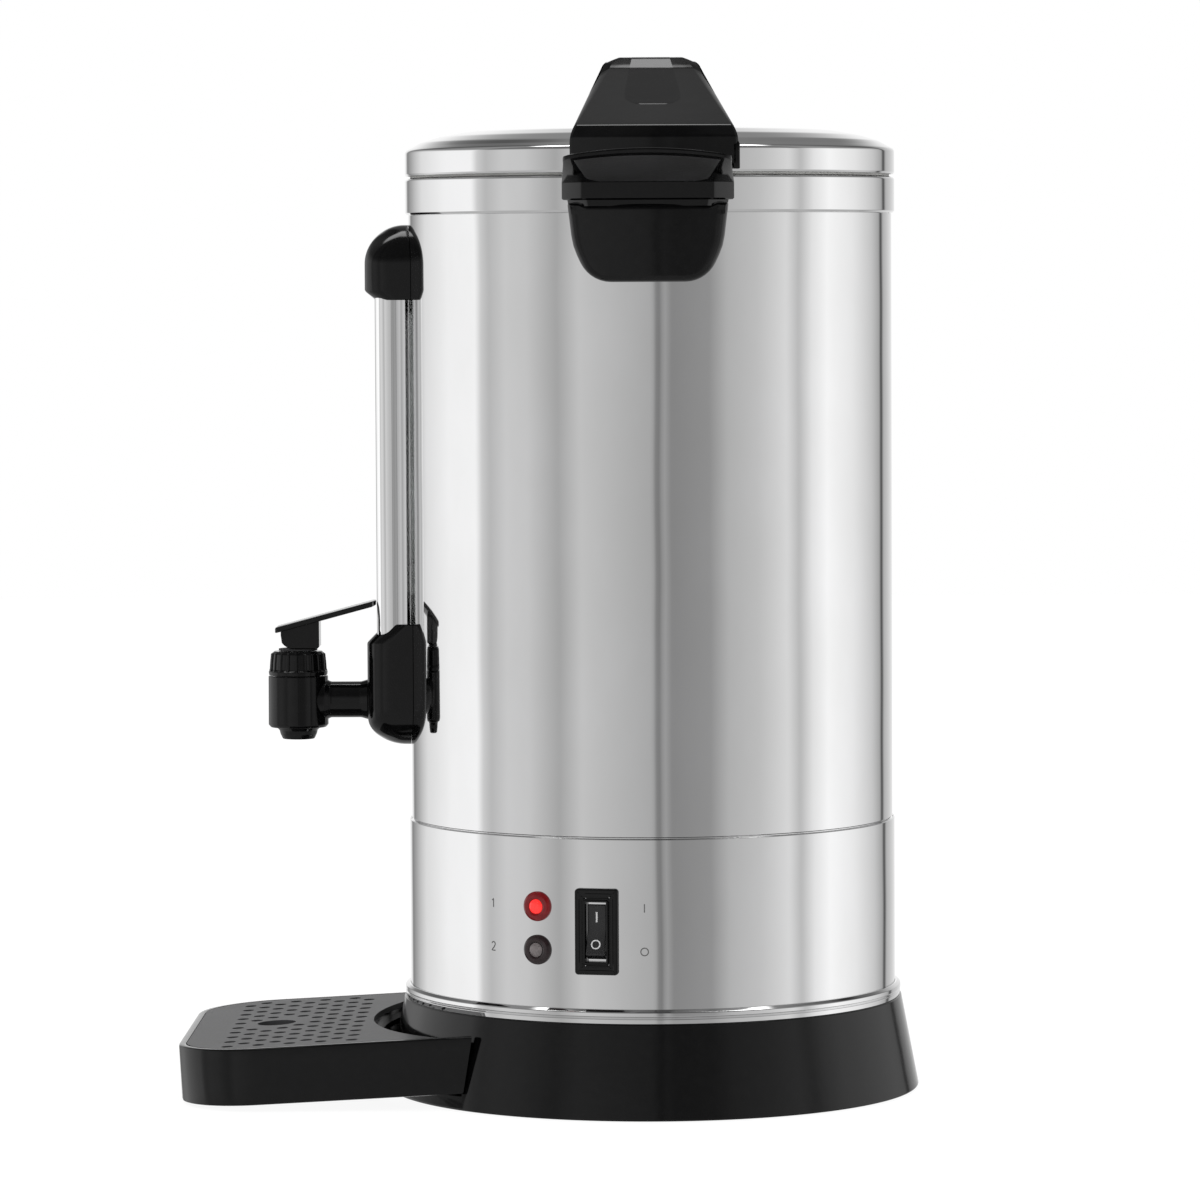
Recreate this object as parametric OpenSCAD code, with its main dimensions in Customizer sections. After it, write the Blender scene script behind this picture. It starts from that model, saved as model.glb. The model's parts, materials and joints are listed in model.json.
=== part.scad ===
// Hot water urn: a steel tank over a heated base, with a swivelling self-closing tap,
// a sight gauge, a lift-off lid that turns, and a loose drip tray.
// Millimetres. The origin is the centre of the base on the table, +Z is up,
// the tap points along -X and the switch and lamps face -Y.

/* [Tank] */
// Outer radius of the tank
tank_r = 112; // [100:1:125]
// Wall thickness of the tank
tank_t = 1; // [0.8:0.1:1.5]
// Height of the tank wall above the lower band
tank_h = 280; // [262:1:340]
// Length of the tank's skirt that sits inside the lower band
skirt_h = 8; // [5:1:12]
// Height of the tank's floor above the seam with the lower band
floor_rise = 4; // [2:1:8]
// How far the rim collar stands out from the tank
collar_out = 1.4; // [1:0.1:2]
// Height of the rim collar
collar_h = 16.7; // [14:0.1:20]
// Depth of the collar's sleeve inside the tank
sleeve_h = 8; // [6:1:10]

/* [Base] */
// Radius of the base at its foot
base_r = 124; // [122:1:132]
// Radius of the base at its top
base_top_r = 115.9; // [115.9:0.1:117]
// Height of the base moulding
base_h = 42.5; // [36:0.5:50]
// Wall thickness of the base moulding
base_t = 2.5; // [2:0.1:3.5]
// Gap between the base moulding and the table
base_gap = 0.5; // [0.4:0.1:3]
// Height of the lower band that shows above the base
band_h = 83; // [78:1:100]
// Thickness of the lower band
band_t = 0.9; // [0.7:0.1:1.2]
// Height of the bright trim ring
trim_h = 6.5; // [4:0.5:9]
// Thickness of the trim ring
trim_t = 2.6; // [1.6:0.1:2.8]
// Thickness of the base's bottom cover
cover_t = 2; // [1.5:0.1:3]
// Radius of a foot
foot_r = 9; // [6:0.5:11]
// Distance of the feet from the centre
foot_ring_r = 100; // [90:1:106]
// Distance of the cover screws from the centre
cover_screw_ring_r = 106; // [100:1:108]
// Radius of a cover screw
cover_screw_r = 1.9; // [1.5:0.1:2.2]
// Length of a cover screw
cover_screw_len = 14; // [9:1:16]

/* [Heater] */
// Radius of the heat-spreader plate
spreader_r = 70; // [60:1:85]
// Thickness of the heat-spreader plate
spreader_t = 3.5; // [2.5:0.5:5]
// Radius of the boiling element's ring
boil_ring_r = 52; // [46:1:58]
// Radius of the boiling element's tube
boil_tube_r = 4; // [3:0.1:4.5]
// Radius of the keep-warm element's ring
warm_ring_r = 38; // [36:1:40]
// Radius of the keep-warm element's tube
warm_tube_r = 3.2; // [2.5:0.1:3.5]
// Length of an element's terminal leg
leg_len = 16; // [10:1:20]
// Distance of each temperature sensor from the centre
sensor_out = 18; // [16:1:20]
// Radius of a temperature sensor
sensor_r = 8; // [6:0.5:9]
// Height of a temperature sensor
sensor_h = 10; // [8:0.5:12]
// Distance of the tie rods from the centre
tie_ring_r = 84; // [78:1:90]
// Radius of a tie rod
tie_r = 2.5; // [2:0.1:3]

/* [Lid] */
// Height of the lid's skirt
lid_skirt_h = 13; // [10:0.5:18]
// Rise of the lid's dome above its skirt
dome_rise = 9.4; // [7:0.1:14]
// Gap between the lid's skirt and the rim collar
lid_gap = 1.3; // [1:0.1:2]
// Thickness of the lid's sheet
lid_t = 1; // [0.8:0.1:1.3]
// Depth of the inner pan below the lid's skirt
pan_drop = 6; // [4:0.5:9]
// Thickness of the inner pan's sheet
pan_t = 0.8; // [0.6:0.1:1]
// Angle from the stop at which the lid rests
lid_rest_angle = 1.4; // [0:0.1:3]
// Height of the lid handle above the dome
arch_rise = 31; // [30:1:44]
// Width of the lid handle at its ends
arch_end_w = 75; // [66:1:77]
// Width of the lid handle at its top
arch_top_w = 43; // [36:1:50]
// Length of the lid handle's flat top
arch_flat = 92; // [70:1:110]
// Thickness of the lid handle's grip
arch_t = 12; // [10:0.5:15]
// How far the lid handle's ends stand out past the lid
arch_out = 5; // [4:0.1:5.2]
// Width of the panel let into the lid handle
inlay_w = 24; // [16:1:28]
// Thickness of that panel
inlay_t = 1.6; // [1.2:0.1:2.4]
// Width of the lid handle's stop tab
stop_w = 3; // [2:0.1:4]
// Distance of the lid screws in from the lid's edge
lid_screw_in = 21.4; // [18.4:1:24.4]
// Radius of a lid screw
lid_screw_r = 2; // [1.5:0.1:2.5]
// Length of a lid screw
lid_screw_len = 13; // [8:1:14]

/* [Side handles] */
// Width of a side handle's grip
grip_w = 73.6; // [64:0.2:74]
// How far a grip stands out from the tank
grip_out = 38; // [30:1:46]
// Height of a side handle above the tank's top edge
grip_rise = 27; // [25.5:0.5:30]
// Thickness of a grip's lip at its edge
lip_t = 2; // [1.6:0.1:3.5]
// Width of a side handle's neck
neck_w = 76.8; // [60:0.2:77]
// How far a neck stands out from the tank
neck_out = 7; // [6:0.1:9]
// Corner radius of a neck
neck_corner = 12; // [8:1:16]
// Height of a side handle's shield
shield_h = 35; // [30:1:45]
// Width of a shield at its top
shield_w = 71.8; // [60:0.2:74]
// Width of a shield at its foot
shield_foot_w = 32; // [20:1:44]
// How far a shield stands out from the tank
shield_out = 9; // [7.5:0.1:11]
// Distance between the two screws of a side handle
handle_screw_gap = 28; // [20:1:40]
// Radius of a handle screw
handle_screw_r = 2.5; // [2:0.1:3]
// Height of the handle screws above the shield's foot
handle_screw_rise = 14; // [12:1:16]

/* [Sight gauge] */
// Half width of the gauge's cap and of the tap housing
gauge_half_w = 20; // [17:0.5:24]
// How far the cap and the tap housing stand out from the tank
gauge_out = 20; // [19:0.5:24]
// Half width of the steel guard
guard_half_w = 17.5; // [14:0.5:18]
// How far the guard stands out from the tank
guard_out = 14.5; // [14.5:0.5:16]
// Thickness of the guard's sheet
guard_t = 0.8; // [0.6:0.1:1]
// Width of the guard's viewing slot
slot_w = 11; // [8:0.5:14]
// Outer radius of the gauge glass
glass_r = 4.2; // [4:0.1:4.5]
// Wall thickness of the gauge glass
glass_t = 1; // [0.8:0.1:1.5]
// Distance of the gauge glass's axis from the tank
glass_out = 7.8; // [7.4:0.1:8.1]
// Depth of the cap below the tank's top edge
cap_drop = 39; // [35:1:60]
// Height of the cap
cap_h = 34.7; // [28:0.5:34.7]
// How far the glass runs into each of its seats
glass_seat = 16; // [10:1:18]
// Height of a gauge seal
seal_h = 5; // [4:0.5:6]

/* [Tap] */
// Height of the tap's spout axis above the table
tap_z = 181; // [178:1:190]
// Height of the tap housing's top above the spout's axis
housing_up = 36; // [34:1:44]
// Depth of the tap housing's foot below the spout's axis
housing_down = 21; // [19:1:24]
// Distance of the valve's axis from the tank
valve_out = 52.8; // [52.5:0.1:60]
// Outer radius of the valve body
valve_r = 14; // [13.5:0.1:15]
// Height of the valve body
valve_h = 24; // [23:0.5:26]
// Wall thickness of the valve body
valve_t = 3.5; // [3:0.1:4]
// Thickness of the valve body's floor
valve_floor = 3; // [2:0.1:4]
// Outer radius of the spout
spout_r = 8.4; // [7.5:0.1:8.6]
// Bore radius of the spout
spout_bore_r = 4.5; // [3:0.1:5]
// Radius of the nozzle's bore
nozzle_r = 5; // [4:0.1:6]
// Length of the nozzle below the valve body
nozzle_len = 5.5; // [4:0.5:9]
// Radius of the shank that passes through the tank's wall
shank_r = 8; // [7:0.1:8.6]
// Height of the bonnet
bonnet_h = 11.5; // [10:0.5:14]
// Number of grip ribs round the bonnet
bonnet_ribs = 20; // [12:1:30]
// Radius of the stem
stem_r = 2.5; // [2:0.1:2.8]
// Outer radius of the valve spring
spring_r = 7.4; // [6.5:0.1:8]
// Thickness of the washer that the lever turns on
turn_washer_t = 0.8; // [0.6:0.1:1.6]
// Height of the lever's pin above the washer
pin_rise = 5.4; // [5:0.1:6]
// Stem lift for each radian that the lever tips
cam_rate = 2; // [1.6:0.1:2.4]
// Largest angle that the lever tips
tip_max = 55; // [45:1:56]
// Radius of the lever's pin
pin_r = 1.5; // [1.2:0.1:1.8]
// Length of the lever from the pin to its long end
lever_len = 36.6; // [30:0.1:36.6]
// Length of the lever's short end
lever_short = 10.2; // [9:0.1:10.4]
// Width of the lever's plate
lever_w = 19; // [17:0.5:24]
// Thickness of the lever's plate
lever_t = 2.5; // [2:0.1:3]
// Slope of the lever's plate
lever_slope = 15; // [12:0.5:17]
// Width of the lever's cam block
cam_w = 15; // [13:0.5:17]

/* [Controls] */
// Angle from the front of the switch
switch_angle = -12.4; // [-13:0.1:-8]
// Height of the switch above the table
switch_z = 84.4; // [82:0.1:92]
// Width of the switch frame
switch_w = 19.8; // [18:0.1:22]
// Height of the switch frame
switch_h = 38.8; // [37:0.1:42]
// Width of the rocker
rocker_w = 8.6; // [8:0.1:11.6]
// Radius swept by the rocker's ends
rocker_r = 13; // [12.5:0.1:15.4]
// Angle that the rocker leans to each side
rocker_lean = 9.3; // [8:0.1:10]
// Angle from the front of the two lamps
lamp_angle = -26.9; // [-30:0.1:-25]
// Height of the boiling lamp above the table
boil_lamp_z = 94.9; // [92:0.1:100]
// Height of the keep-warm lamp above the table
warm_lamp_z = 75.3; // [72:0.1:77]
// Radius of a lamp's lens
lamp_r = 6.9; // [6:0.1:8]
// Radius of a lamp's barrel
barrel_r = 5; // [4:0.1:5.4]
// Length of a lamp's barrel
barrel_len = 20; // [14:1:24]
// Height of the power inlet above the table
inlet_z = 78; // [74:1:90]
// Width of the power inlet's mouth
inlet_w = 24; // [22:0.5:26]
// Height of the power inlet's mouth
inlet_h = 16.4; // [15:0.1:18]
// Depth of the power inlet's mouth
inlet_depth = 18; // [16:0.5:20]

/* [Drip tray] */
// How far the tray reaches from the urn's axis
tray_reach = 216; // [205:0.5:240]
// Width of the tray
tray_w = 179; // [150:1:190]
// Height of the tray's wall
tray_h = 25.8; // [22:0.1:32]
// Thickness of the tray's wall
tray_t = 2.5; // [2:0.1:3]
// Corner radius of the tray
tray_corner = 37; // [25:1:44]
// Slope of the tray towards its outer edge
tray_slope = 3.07; // [2:0.01:3.5]
// Height of the tray's two pads
tray_pad_h = 1.5; // [1:0.1:2.5]
// Width of the rim round the grid
rim_w = 3.4; // [3:0.1:5]
// Thickness of the grid
grid_t = 2.4; // [1.6:0.1:3]
// Depth of the apron beside the urn below the tray's rim
apron_drop = 5.6; // [4.5:0.1:7]
// Radius of a drain hole
hole_r = 2.75; // [2:0.05:3]
// Distance between neighbouring columns of drain holes
hole_col = 7.1; // [6.8:0.1:9]
// Distance between drain holes in a column
hole_row = 16; // [14:0.5:20]
// Radius of the large hole below the tap
cup_hole_r = 9; // [6:0.5:11]

/* [Hidden] */
$fn = 96;

// Clearance between pieces that are fitted together and stay put
fit = 0.1;
// Gap between pieces that move past each other
gap = 0.3;
// Length that a cutting solid runs past what it cuts
over = 1;
// Width and height of a slab that is cut down to shape
slab = 400;

base_top_z = base_gap + base_h;
deck_t = 2.5;
deck_z = base_top_z - 1;
deck_in_r = base_top_r - 20;
band_in_r = tank_r + fit;
band_r = band_in_r + band_t;
seam_z = base_top_z + band_h;
floor_z = seam_z + floor_rise;
tank_top_z = seam_z + tank_h;
collar_r = tank_r + collar_out;
collar_top_z = tank_top_z + collar_h;
collar_bead = 5.3;
cover_z = base_gap + 1.5;
cover_r = base_r - base_t - 1;

lid_z = collar_top_z + lid_gap;
skirt_top_z = lid_z + lid_skirt_h;
lid_r = collar_r;
shoulder_r = lid_r + arch_out + 0.7;
arch_top_z = skirt_top_z + dome_rise + arch_rise;
arch_r = lid_r + arch_out;

grip_top_z = tank_top_z + grip_rise;
neck_z = tank_top_z + 5.6;
neck_top_z = neck_z + 7.6;
shield_z = neck_z - 1.6 - shield_h;
handle_screw_z = shield_z + handle_screw_rise;
handle_screw_turn = asin(handle_screw_gap / 2 / tank_r);

cap_z = tank_top_z - cap_drop;
cap_top_z = cap_z + cap_h;
gauge_x = -(tank_r + gauge_out);
guard_x = -(tank_r + guard_out);
glass_x = -(tank_r + glass_out);
glass_bore_r = glass_r + gap;
seal_r = glass_r + 1.1;
gauge_screw_z = cap_z + cap_h / 2 + 6;
guard_z = tap_z + 26;
guard_top_z = cap_z + 8;
guard_corner = 6;

valve_x = -(tank_r + valve_out);
housing_top_z = tap_z + housing_up;
housing_foot_z = tap_z - housing_down;
valve_top_z = tap_z + 11.3;
valve_z = valve_top_z - valve_h;
chamber_r = valve_r - valve_t;
seat_z = valve_z + valve_floor;
bonnet_z = valve_top_z + 1.1;
bonnet_top_z = bonnet_z + bonnet_h - 1.1;
bonnet_roof = 3;
stem_bore_r = stem_r + 0.15;
spring_z = seat_z + 10;
spring_top_z = bonnet_top_z - bonnet_roof;
washer_z = bonnet_top_z + gap;
cam_z = washer_z + turn_washer_t + gap;
pin_z = cam_z + pin_rise;
glass_z = housing_top_z - glass_seat;
glass_top_z = cap_z + glass_seat;
shank_in_x = -(tank_r - 16);
tap_washer_x = -tank_r + tank_t + 0.8;
tap_washer_t = 1.6;
plate_rise = 4.6;

spreader_z = floor_z - spreader_t;
boil_z = spreader_z - boil_tube_r - fit;
warm_z = spreader_z - warm_tube_r - fit;
bracket_t = 1.5;
bracket_z = spreader_z - sensor_h - fit - bracket_t;

wire_r = 1.3;
wire_z = cover_z + cover_t + 9;
block_y = 30;
block_w = 44;
block_h = 16;
block_d = 16;
pole_step = 10;
washer_t = 1.2;

inlet_flange_w = 52;
inlet_wall = 1.5;
inlet_screw_x = 20;
inlet_screw_r = 1.6;
inlet_pin_w = 4;
inlet_pin_t = 2;

switch_body_w = switch_w - 3.4;
switch_body_h = switch_h - 3.4;
switch_depth = 24;
rocker_in = 4;
rocker_face = 4.6;

tray_pivot_x = -tray_reach + 2.5;
grid_in_r = base_r + 5;
grid_ledge = 2;
grid_z = tray_h - grid_t - fit;
tray_pad_r = 6;
tray_pad_x = -tray_reach + 16;
tray_pad_y = tray_w / 2 - 44.5;
ledge_out = 11;
ledge_w = 44;

pan_r = lid_r - 9;
lid_screw_out = lid_r - lid_screw_in;
arch_foot_y = lid_r - 35.4;
pan_z = lid_z - pan_drop;
flange_z = lid_z + 3.5;
lid_screw_head_z = skirt_top_z + 0.45 * dome_rise - lid_t;
lid_screw_tip_z = lid_screw_head_z + lid_screw_len;

// Shapes that several pieces share

// A tube standing on z = 0
module tube(ro, ri, h) {
  difference() {
    cylinder(r = ro, h = h);
    translate([0, 0, -over]) cylinder(r = ri, h = h + 2 * over);
  }
}

// Carries its children to the lower band's surface: -Y points outwards there
module on_band(angle, z) {
  rotate([0, 0, angle]) translate([0, -band_r, z]) children();
}

// A cylinder along -Y that starts at depth y and ends h further out
module peg(r, y, h) {
  translate([0, y, 0]) rotate([90, 0, 0]) cylinder(r = r, h = h);
}

// A block centred on X and Z between two depths
module block(w, h, y0, y1) {
  translate([-w / 2, y0, -h / 2]) cube([w, y1 - y0, h]);
}

// A rod between two points
module rod(p, q, r) {
  d = q - p;
  translate(p) rotate([0, acos(d[2] / norm(d)), atan2(d[1], d[0])]) cylinder(r = r, h = norm(d));
}

// Carries its children to the tray's sloping frame
module on_slope() {
  translate([tray_pivot_x, 0, tray_pad_h]) rotate([0, -tray_slope, 0])
    translate([-tray_pivot_x, 0, 0]) children();
}

// Plan of a gauge part: flat sides, and round corners at the outer side
module gauge_plan(x, half_w, corner) {
  translate([x + corner, -half_w]) square([-x - corner - tank_r / 2, 2 * half_w]);
  translate([x, corner - half_w]) square([corner + 1, 2 * (half_w - corner)]);
  for (s = [-1, 1]) translate([x + corner, s * (half_w - corner)]) circle(r = corner);
}

// Tank

module tank_shell() color("silver")
  difference() {
    rotate_extrude() polygon([
      [0, floor_z], [tank_r - tank_t, floor_z], [tank_r - tank_t, seam_z - skirt_h],
      [tank_r, seam_z - skirt_h], [tank_r, tank_top_z], [tank_r - tank_t, tank_top_z],
      [tank_r - tank_t, floor_z + tank_t], [0, floor_z + tank_t]
    ]);
    translate([-tank_r - over, 0, tap_z]) rotate([0, 90, 0])
      cylinder(r = shank_r + fit, h = tank_t + 4 * over);
    translate([-tank_r - over, 0, gauge_screw_z]) rotate([0, 90, 0])
      cylinder(r = handle_screw_r + fit, h = tank_t + 4 * over);
    each_handle_screw() peg(handle_screw_r + fit, -tank_r + 4 * over, 6 * over);
  }

module rim_collar() color("gainsboro")
  rotate_extrude() polygon([
    [tank_r - 2 * tank_t - fit, tank_top_z - sleeve_h], [tank_r - tank_t - fit, tank_top_z - sleeve_h],
    [tank_r - tank_t - fit, tank_top_z], [collar_r - 0.5, tank_top_z], [collar_r, tank_top_z + 1],
    [collar_r, collar_top_z - 1], [collar_r - 1, collar_top_z],
    [collar_r - collar_bead, collar_top_z], [collar_r - collar_bead, collar_top_z - 3],
    [collar_r - collar_bead + 1, collar_top_z - 3], [collar_r - collar_bead + 1, collar_top_z - 1],
    [collar_r - 1, collar_top_z - 2], [collar_r - 1, tank_top_z + 1],
    [tank_r - 2 * tank_t - fit, tank_top_z + 1]
  ]);

// Base

module lower_band() color("gainsboro")
  difference() {
    translate([0, 0, deck_z]) tube(band_r, band_in_r, seam_z - deck_z);
    on_band(switch_angle, switch_z)
      block(switch_body_w + 2 * fit, switch_body_h + 2 * fit, -4 * over, 6 * over);
    for (z = [boil_lamp_z, warm_lamp_z])
      on_band(lamp_angle, z) peg(barrel_r + fit, 6 * over, 10 * over);
    on_band(180, inlet_z) {
      block(inlet_w + 2 * inlet_wall + 0.4, inlet_h + 2 * inlet_wall + 0.4, -4 * over, 6 * over);
      each_inlet_screw() peg(inlet_screw_r + fit, 8 * over, 12 * over);
    }
  }

module trim_ring() color("white")
  rotate_extrude() polygon([
    [band_r + fit, base_top_z], [band_r + trim_t - 0.7, base_top_z],
    [band_r + trim_t, base_top_z + 1], [band_r + trim_t, base_top_z + trim_h - 2],
    [band_r + trim_t - 0.7, base_top_z + trim_h - 0.7], [band_r + 1, base_top_z + trim_h],
    [band_r + fit, base_top_z + trim_h]
  ]);

module base_moulding() color("#141416") {
  rotate_extrude() polygon([
    [base_r, base_gap], [base_top_r, base_top_z], [band_r + fit, base_top_z],
    [band_r + fit, deck_z], [deck_in_r, deck_z], [deck_in_r, deck_z - deck_t],
    [base_top_r - base_t, deck_z - deck_t], [base_r - base_t, base_gap]
  ]);
  each_cover_screw() translate([0, 0, cover_z + cover_t])
    tube(5, cover_screw_r + 0.05, deck_z - deck_t - cover_z - cover_t);
  difference() {
    translate([-base_r - ledge_out, -ledge_w / 2, base_gap]) cube([ledge_out + 6, ledge_w, 20]);
    on_slope() translate([-slab, -slab / 2, -gap]) cube([slab, slab, slab]);
    translate([0, 0, base_gap - over])
      cylinder(r1 = base_r - base_t / 2, r2 = base_top_r - base_t / 2, h = base_h);
  }
}

module each_cover_screw()
  for (a = [20 : 90 : 290]) rotate([0, 0, a]) translate([cover_screw_ring_r, 0, 0]) children();

module each_foot()
  for (a = [45 : 90 : 315]) rotate([0, 0, a]) translate([foot_ring_r, 0, 0]) children();

module each_tie_rod()
  for (a = [60 : 120 : 300]) rotate([0, 0, a]) translate([tie_ring_r, 0, 0]) children();

module base_cover() color("#1c1c1e")
  difference() {
    translate([0, 0, cover_z]) cylinder(r = cover_r, h = cover_t);
    each_cover_screw() translate([0, 0, cover_z - over])
      cylinder(r = cover_screw_r + fit, h = cover_t + 2 * over);
    each_tie_rod() translate([0, 0, cover_z - over])
      cylinder(r = tie_r + fit, h = cover_t + 2 * over);
    for (a = [0 : 30 : 330]) rotate([0, 0, a])
      translate([30, -1.5, cover_z - over]) cube([26, 3, cover_t + 2 * over]);
  }

// Four feet near the edge and one under the middle of the cover
module rubber_feet() color("#202020") {
  each_foot() cylinder(r = foot_r, h = cover_z);
  cylinder(r = foot_r, h = cover_z);
}

module cover_screws() color("silver")
  each_cover_screw() {
    translate([0, 0, cover_z - 1.2]) cylinder(r = cover_screw_r + 1.8, h = 1.2);
    translate([0, 0, cover_z]) cylinder(r = cover_screw_r, h = cover_screw_len);
  }

module tie_rods() color("silver")
  each_tie_rod() {
    translate([0, 0, cover_z - 1.2]) cylinder(r = tie_r + 2.5, h = 1.2);
    translate([0, 0, cover_z]) cylinder(r = tie_r, h = floor_z - cover_z);
  }

// Heater

module heat_spreader() color("lightgray") {
  translate([0, 0, spreader_z]) cylinder(r = spreader_r, h = spreader_t);
  translate([0, 0, bracket_z - 9]) cylinder(r = 3, h = spreader_z - bracket_z + 9);
}

// An open ring of heater tube with a ferrule, a leg and a stud at each end
module element_ring(ring_r, tube_r, z, start) {
  turn = 330;
  ferrule = 6;
  translate([0, 0, z]) rotate([0, 0, start]) {
    rotate_extrude(angle = turn) translate([ring_r, 0]) circle(r = tube_r);
    for (a = [0, turn]) rotate([0, 0, a]) translate([ring_r, 0, 0]) {
      translate([0, 0, -ferrule]) cylinder(r = tube_r + 0.7, h = ferrule + tube_r - fit);
      translate([0, 0, -leg_len]) cylinder(r = tube_r - 0.5, h = leg_len);
      translate([0, 0, -leg_len - 6]) cylinder(r = 1.5, h = 7);
    }
  }
}

module boil_element() color("dimgray") element_ring(boil_ring_r, boil_tube_r, boil_z, 105);

module warm_element() color("dimgray") element_ring(warm_ring_r, warm_tube_r, warm_z, 285);

module sensor_bracket() color("silver") {
  difference() {
    translate([-sensor_out - 12, -8, bracket_z]) cube([2 * sensor_out + 24, 16, bracket_t]);
    translate([0, 0, bracket_z - over]) cylinder(r = 3 + fit, h = bracket_t + 2 * over);
  }
  translate([0, 0, bracket_z - 5]) difference() {
    cylinder(r = 5.8, h = 5, $fn = 6);
    translate([0, 0, -over]) cylinder(r = 3.05, h = 5 + 2 * over, $fn = 96);
  }
}

// A disc thermostat with two blade terminals
module sensor(x) {
  translate([x, 0, bracket_z + bracket_t]) cylinder(r = sensor_r, h = sensor_h);
  for (s = [-1, 1]) translate([x - 3, s * 11 - 0.4, bracket_z + bracket_t + 2]) cube([6, 0.8, 4]);
  for (s = [-1, 1]) translate([x - 3, min(0, s * 11.4), bracket_z + bracket_t + 1.6])
    cube([6, 11.4, 0.8]);
}

module boil_thermostat() color("ivory") sensor(sensor_out);

module thermal_cutout() color("ivory") sensor(-sensor_out);

module terminal_block() color("ivory")
  difference() {
    translate([-block_w / 2, block_y, cover_z + cover_t]) cube([block_w, block_d, block_h]);
    for (i = [-1.5 : 1 : 1.5]) translate([i * pole_step, block_y - over, wire_z])
      rotate([-90, 0, 0]) cylinder(r = wire_r + 0.5, h = block_d + 2 * over);
  }

// A wire that follows a list of points
module wire(points) {
  for (i = [0 : len(points) - 2]) rod(points[i], points[i + 1], wire_r);
  for (i = [1 : len(points) - 2]) translate(points[i]) sphere(r = wire_r + 0.4);
}

// A point just behind the switch, x across from its middle
function switch_back(x) = [
  x * cos(switch_angle) - (switch_depth + wire_r - band_r) * sin(switch_angle),
  x * sin(switch_angle) + (switch_depth + wire_r - band_r) * cos(switch_angle),
  switch_z - 10
];

module wiring() color("firebrick") {
  for (i = [-1, 0, 1]) let (pin_z = inlet_z + inlet_pin_t - 4 * abs(i)) wire([
    [i * 7, band_r - inlet_depth - 8.2, pin_z], [i * 7, band_r - 36, pin_z],
    [(i + 0.5) * pole_step, block_y + block_d + 10, wire_z],
    [(i + 0.5) * pole_step, block_y + block_d - 2, wire_z]
  ]);
  for (i = [-1.5 : 1 : 1.5]) wire([
    [i * pole_step, block_y + 2, wire_z], [i * pole_step, block_y - 8, wire_z],
    [i * 9 - 22, -58, wire_z + 12], switch_back(i * 3.6)
  ]);
}

// Power inlet

module each_inlet_screw() for (s = [-1, 1]) translate([s * inlet_screw_x, 0, 0]) children();

module each_inlet_pin()
  for (p = [[-7, -2], [0, 2], [7, -2]]) translate([p[0], 0, p[1]]) children();

module inlet_housing() color("#161618")
  difference() {
    union() {
      block(inlet_flange_w, inlet_h + 9, -3, 4);
      block(inlet_w + 2 * inlet_wall, inlet_h + 2 * inlet_wall, 0, inlet_depth);
    }
    band_cut(inlet_w + 2 * inlet_wall, inlet_h + 2 * inlet_wall);
    block(inlet_w, inlet_h, -3 - over, inlet_depth - 4.5);
    each_inlet_pin() block(inlet_pin_w + 0.1, inlet_pin_t + 0.1, 0, inlet_depth + over);
    each_inlet_screw() peg(inlet_screw_r + fit, 6, 12);
  }

module inlet_pins() color("gold")
  each_inlet_pin() block(inlet_pin_w, inlet_pin_t, 4, inlet_depth + 8);

module inlet_screws() color("silver")
  each_inlet_screw() {
    peg(3, -3, 1.8);
    peg(inlet_screw_r, 6, 9);
  }

// What the band's round outside takes off the back of a frame with a body w wide and h high
module band_cut(w, h)
  difference() {
    block(slab / 4, slab / 4, -over, 6);
    translate([0, band_r, -slab / 2]) difference() {
      translate([-slab / 2, -slab, 0]) cube([slab, 2 * slab, slab]);
      cylinder(r = band_r + 0.05, h = slab, $fn = 180);
    }
    block(w, h, -2 * over, 8);
  }

// Switch and lamps

module switch_housing() color("#111113")
  difference() {
    union() {
      block(switch_w, switch_h, -2.2, 2);
      block(switch_body_w, switch_body_h, 0, switch_depth);
      block(rocker_w + 3.4, 2 * rocker_r + 3, -3.4, 0);
    }
    band_cut(switch_body_w, switch_body_h);
    block(rocker_w + 2 * gap, 2 * (rocker_r + gap), -8, switch_depth - 8);
    translate([0, rocker_in, 0]) rotate([0, 90, 0]) translate([0, 0, -switch_w / 2 + 1.7])
      cylinder(r = 1.58, h = switch_w - 3.4);
  }

module rocker_solid() {
  reach = 30;
  intersection() {
    rotate([0, 90, 0]) cylinder(r = rocker_r, h = rocker_w, center = true);
    union() for (s = [-1, 1]) rotate([s * rocker_lean, 0, 0])
      translate([-rocker_w / 2, -rocker_face * cos(rocker_lean), s > 0 ? 0 : -reach])
        cube([rocker_w, rocker_face + 6, reach]);
  }
  rotate([0, 90, 0]) cylinder(r = 1.5, h = rocker_w + 3, center = true);
}

module switch_rocker() color("#2a2a2e")
  translate([0, rocker_in, 0]) rotate([-rocker_lean, 0, 0]) rocker_solid();

// A screw-in lamp: a domed lens, with its barrel through the band
module lamp() {
  difference() {
    union() {
      peg(lamp_r, 1, 2);
      intersection() {
        translate([0, 8.2, 0]) sphere(r = 11.4);
        peg(lamp_r - 1.2, 0, 8);
      }
    }
    translate([0, band_r, -lamp_r - over]) cylinder(r = band_r + 0.05, h = 2 * lamp_r + 2 * over, $fn = 180);
  }
  peg(barrel_r, barrel_len, barrel_len + 1);
}

module boil_lamp() color("red") on_band(lamp_angle, boil_lamp_z) lamp();

module warm_lamp() color("#4a2a2c") on_band(lamp_angle, warm_lamp_z) lamp();

module lamp_nuts() color("white")
  for (z = [boil_lamp_z, warm_lamp_z]) on_band(lamp_angle, z) difference() {
    translate([0, 5.6, 0]) rotate([90, 0, 0]) cylinder(r = 8, h = 4, $fn = 6);
    peg(barrel_r + fit, 8, 10);
  }

// Side handles

module each_handle_screw()
  for (side = [0, 180], s = [-1, 1])
    rotate([0, 0, side + s * handle_screw_turn]) translate([0, 0, handle_screw_z]) children();

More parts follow.
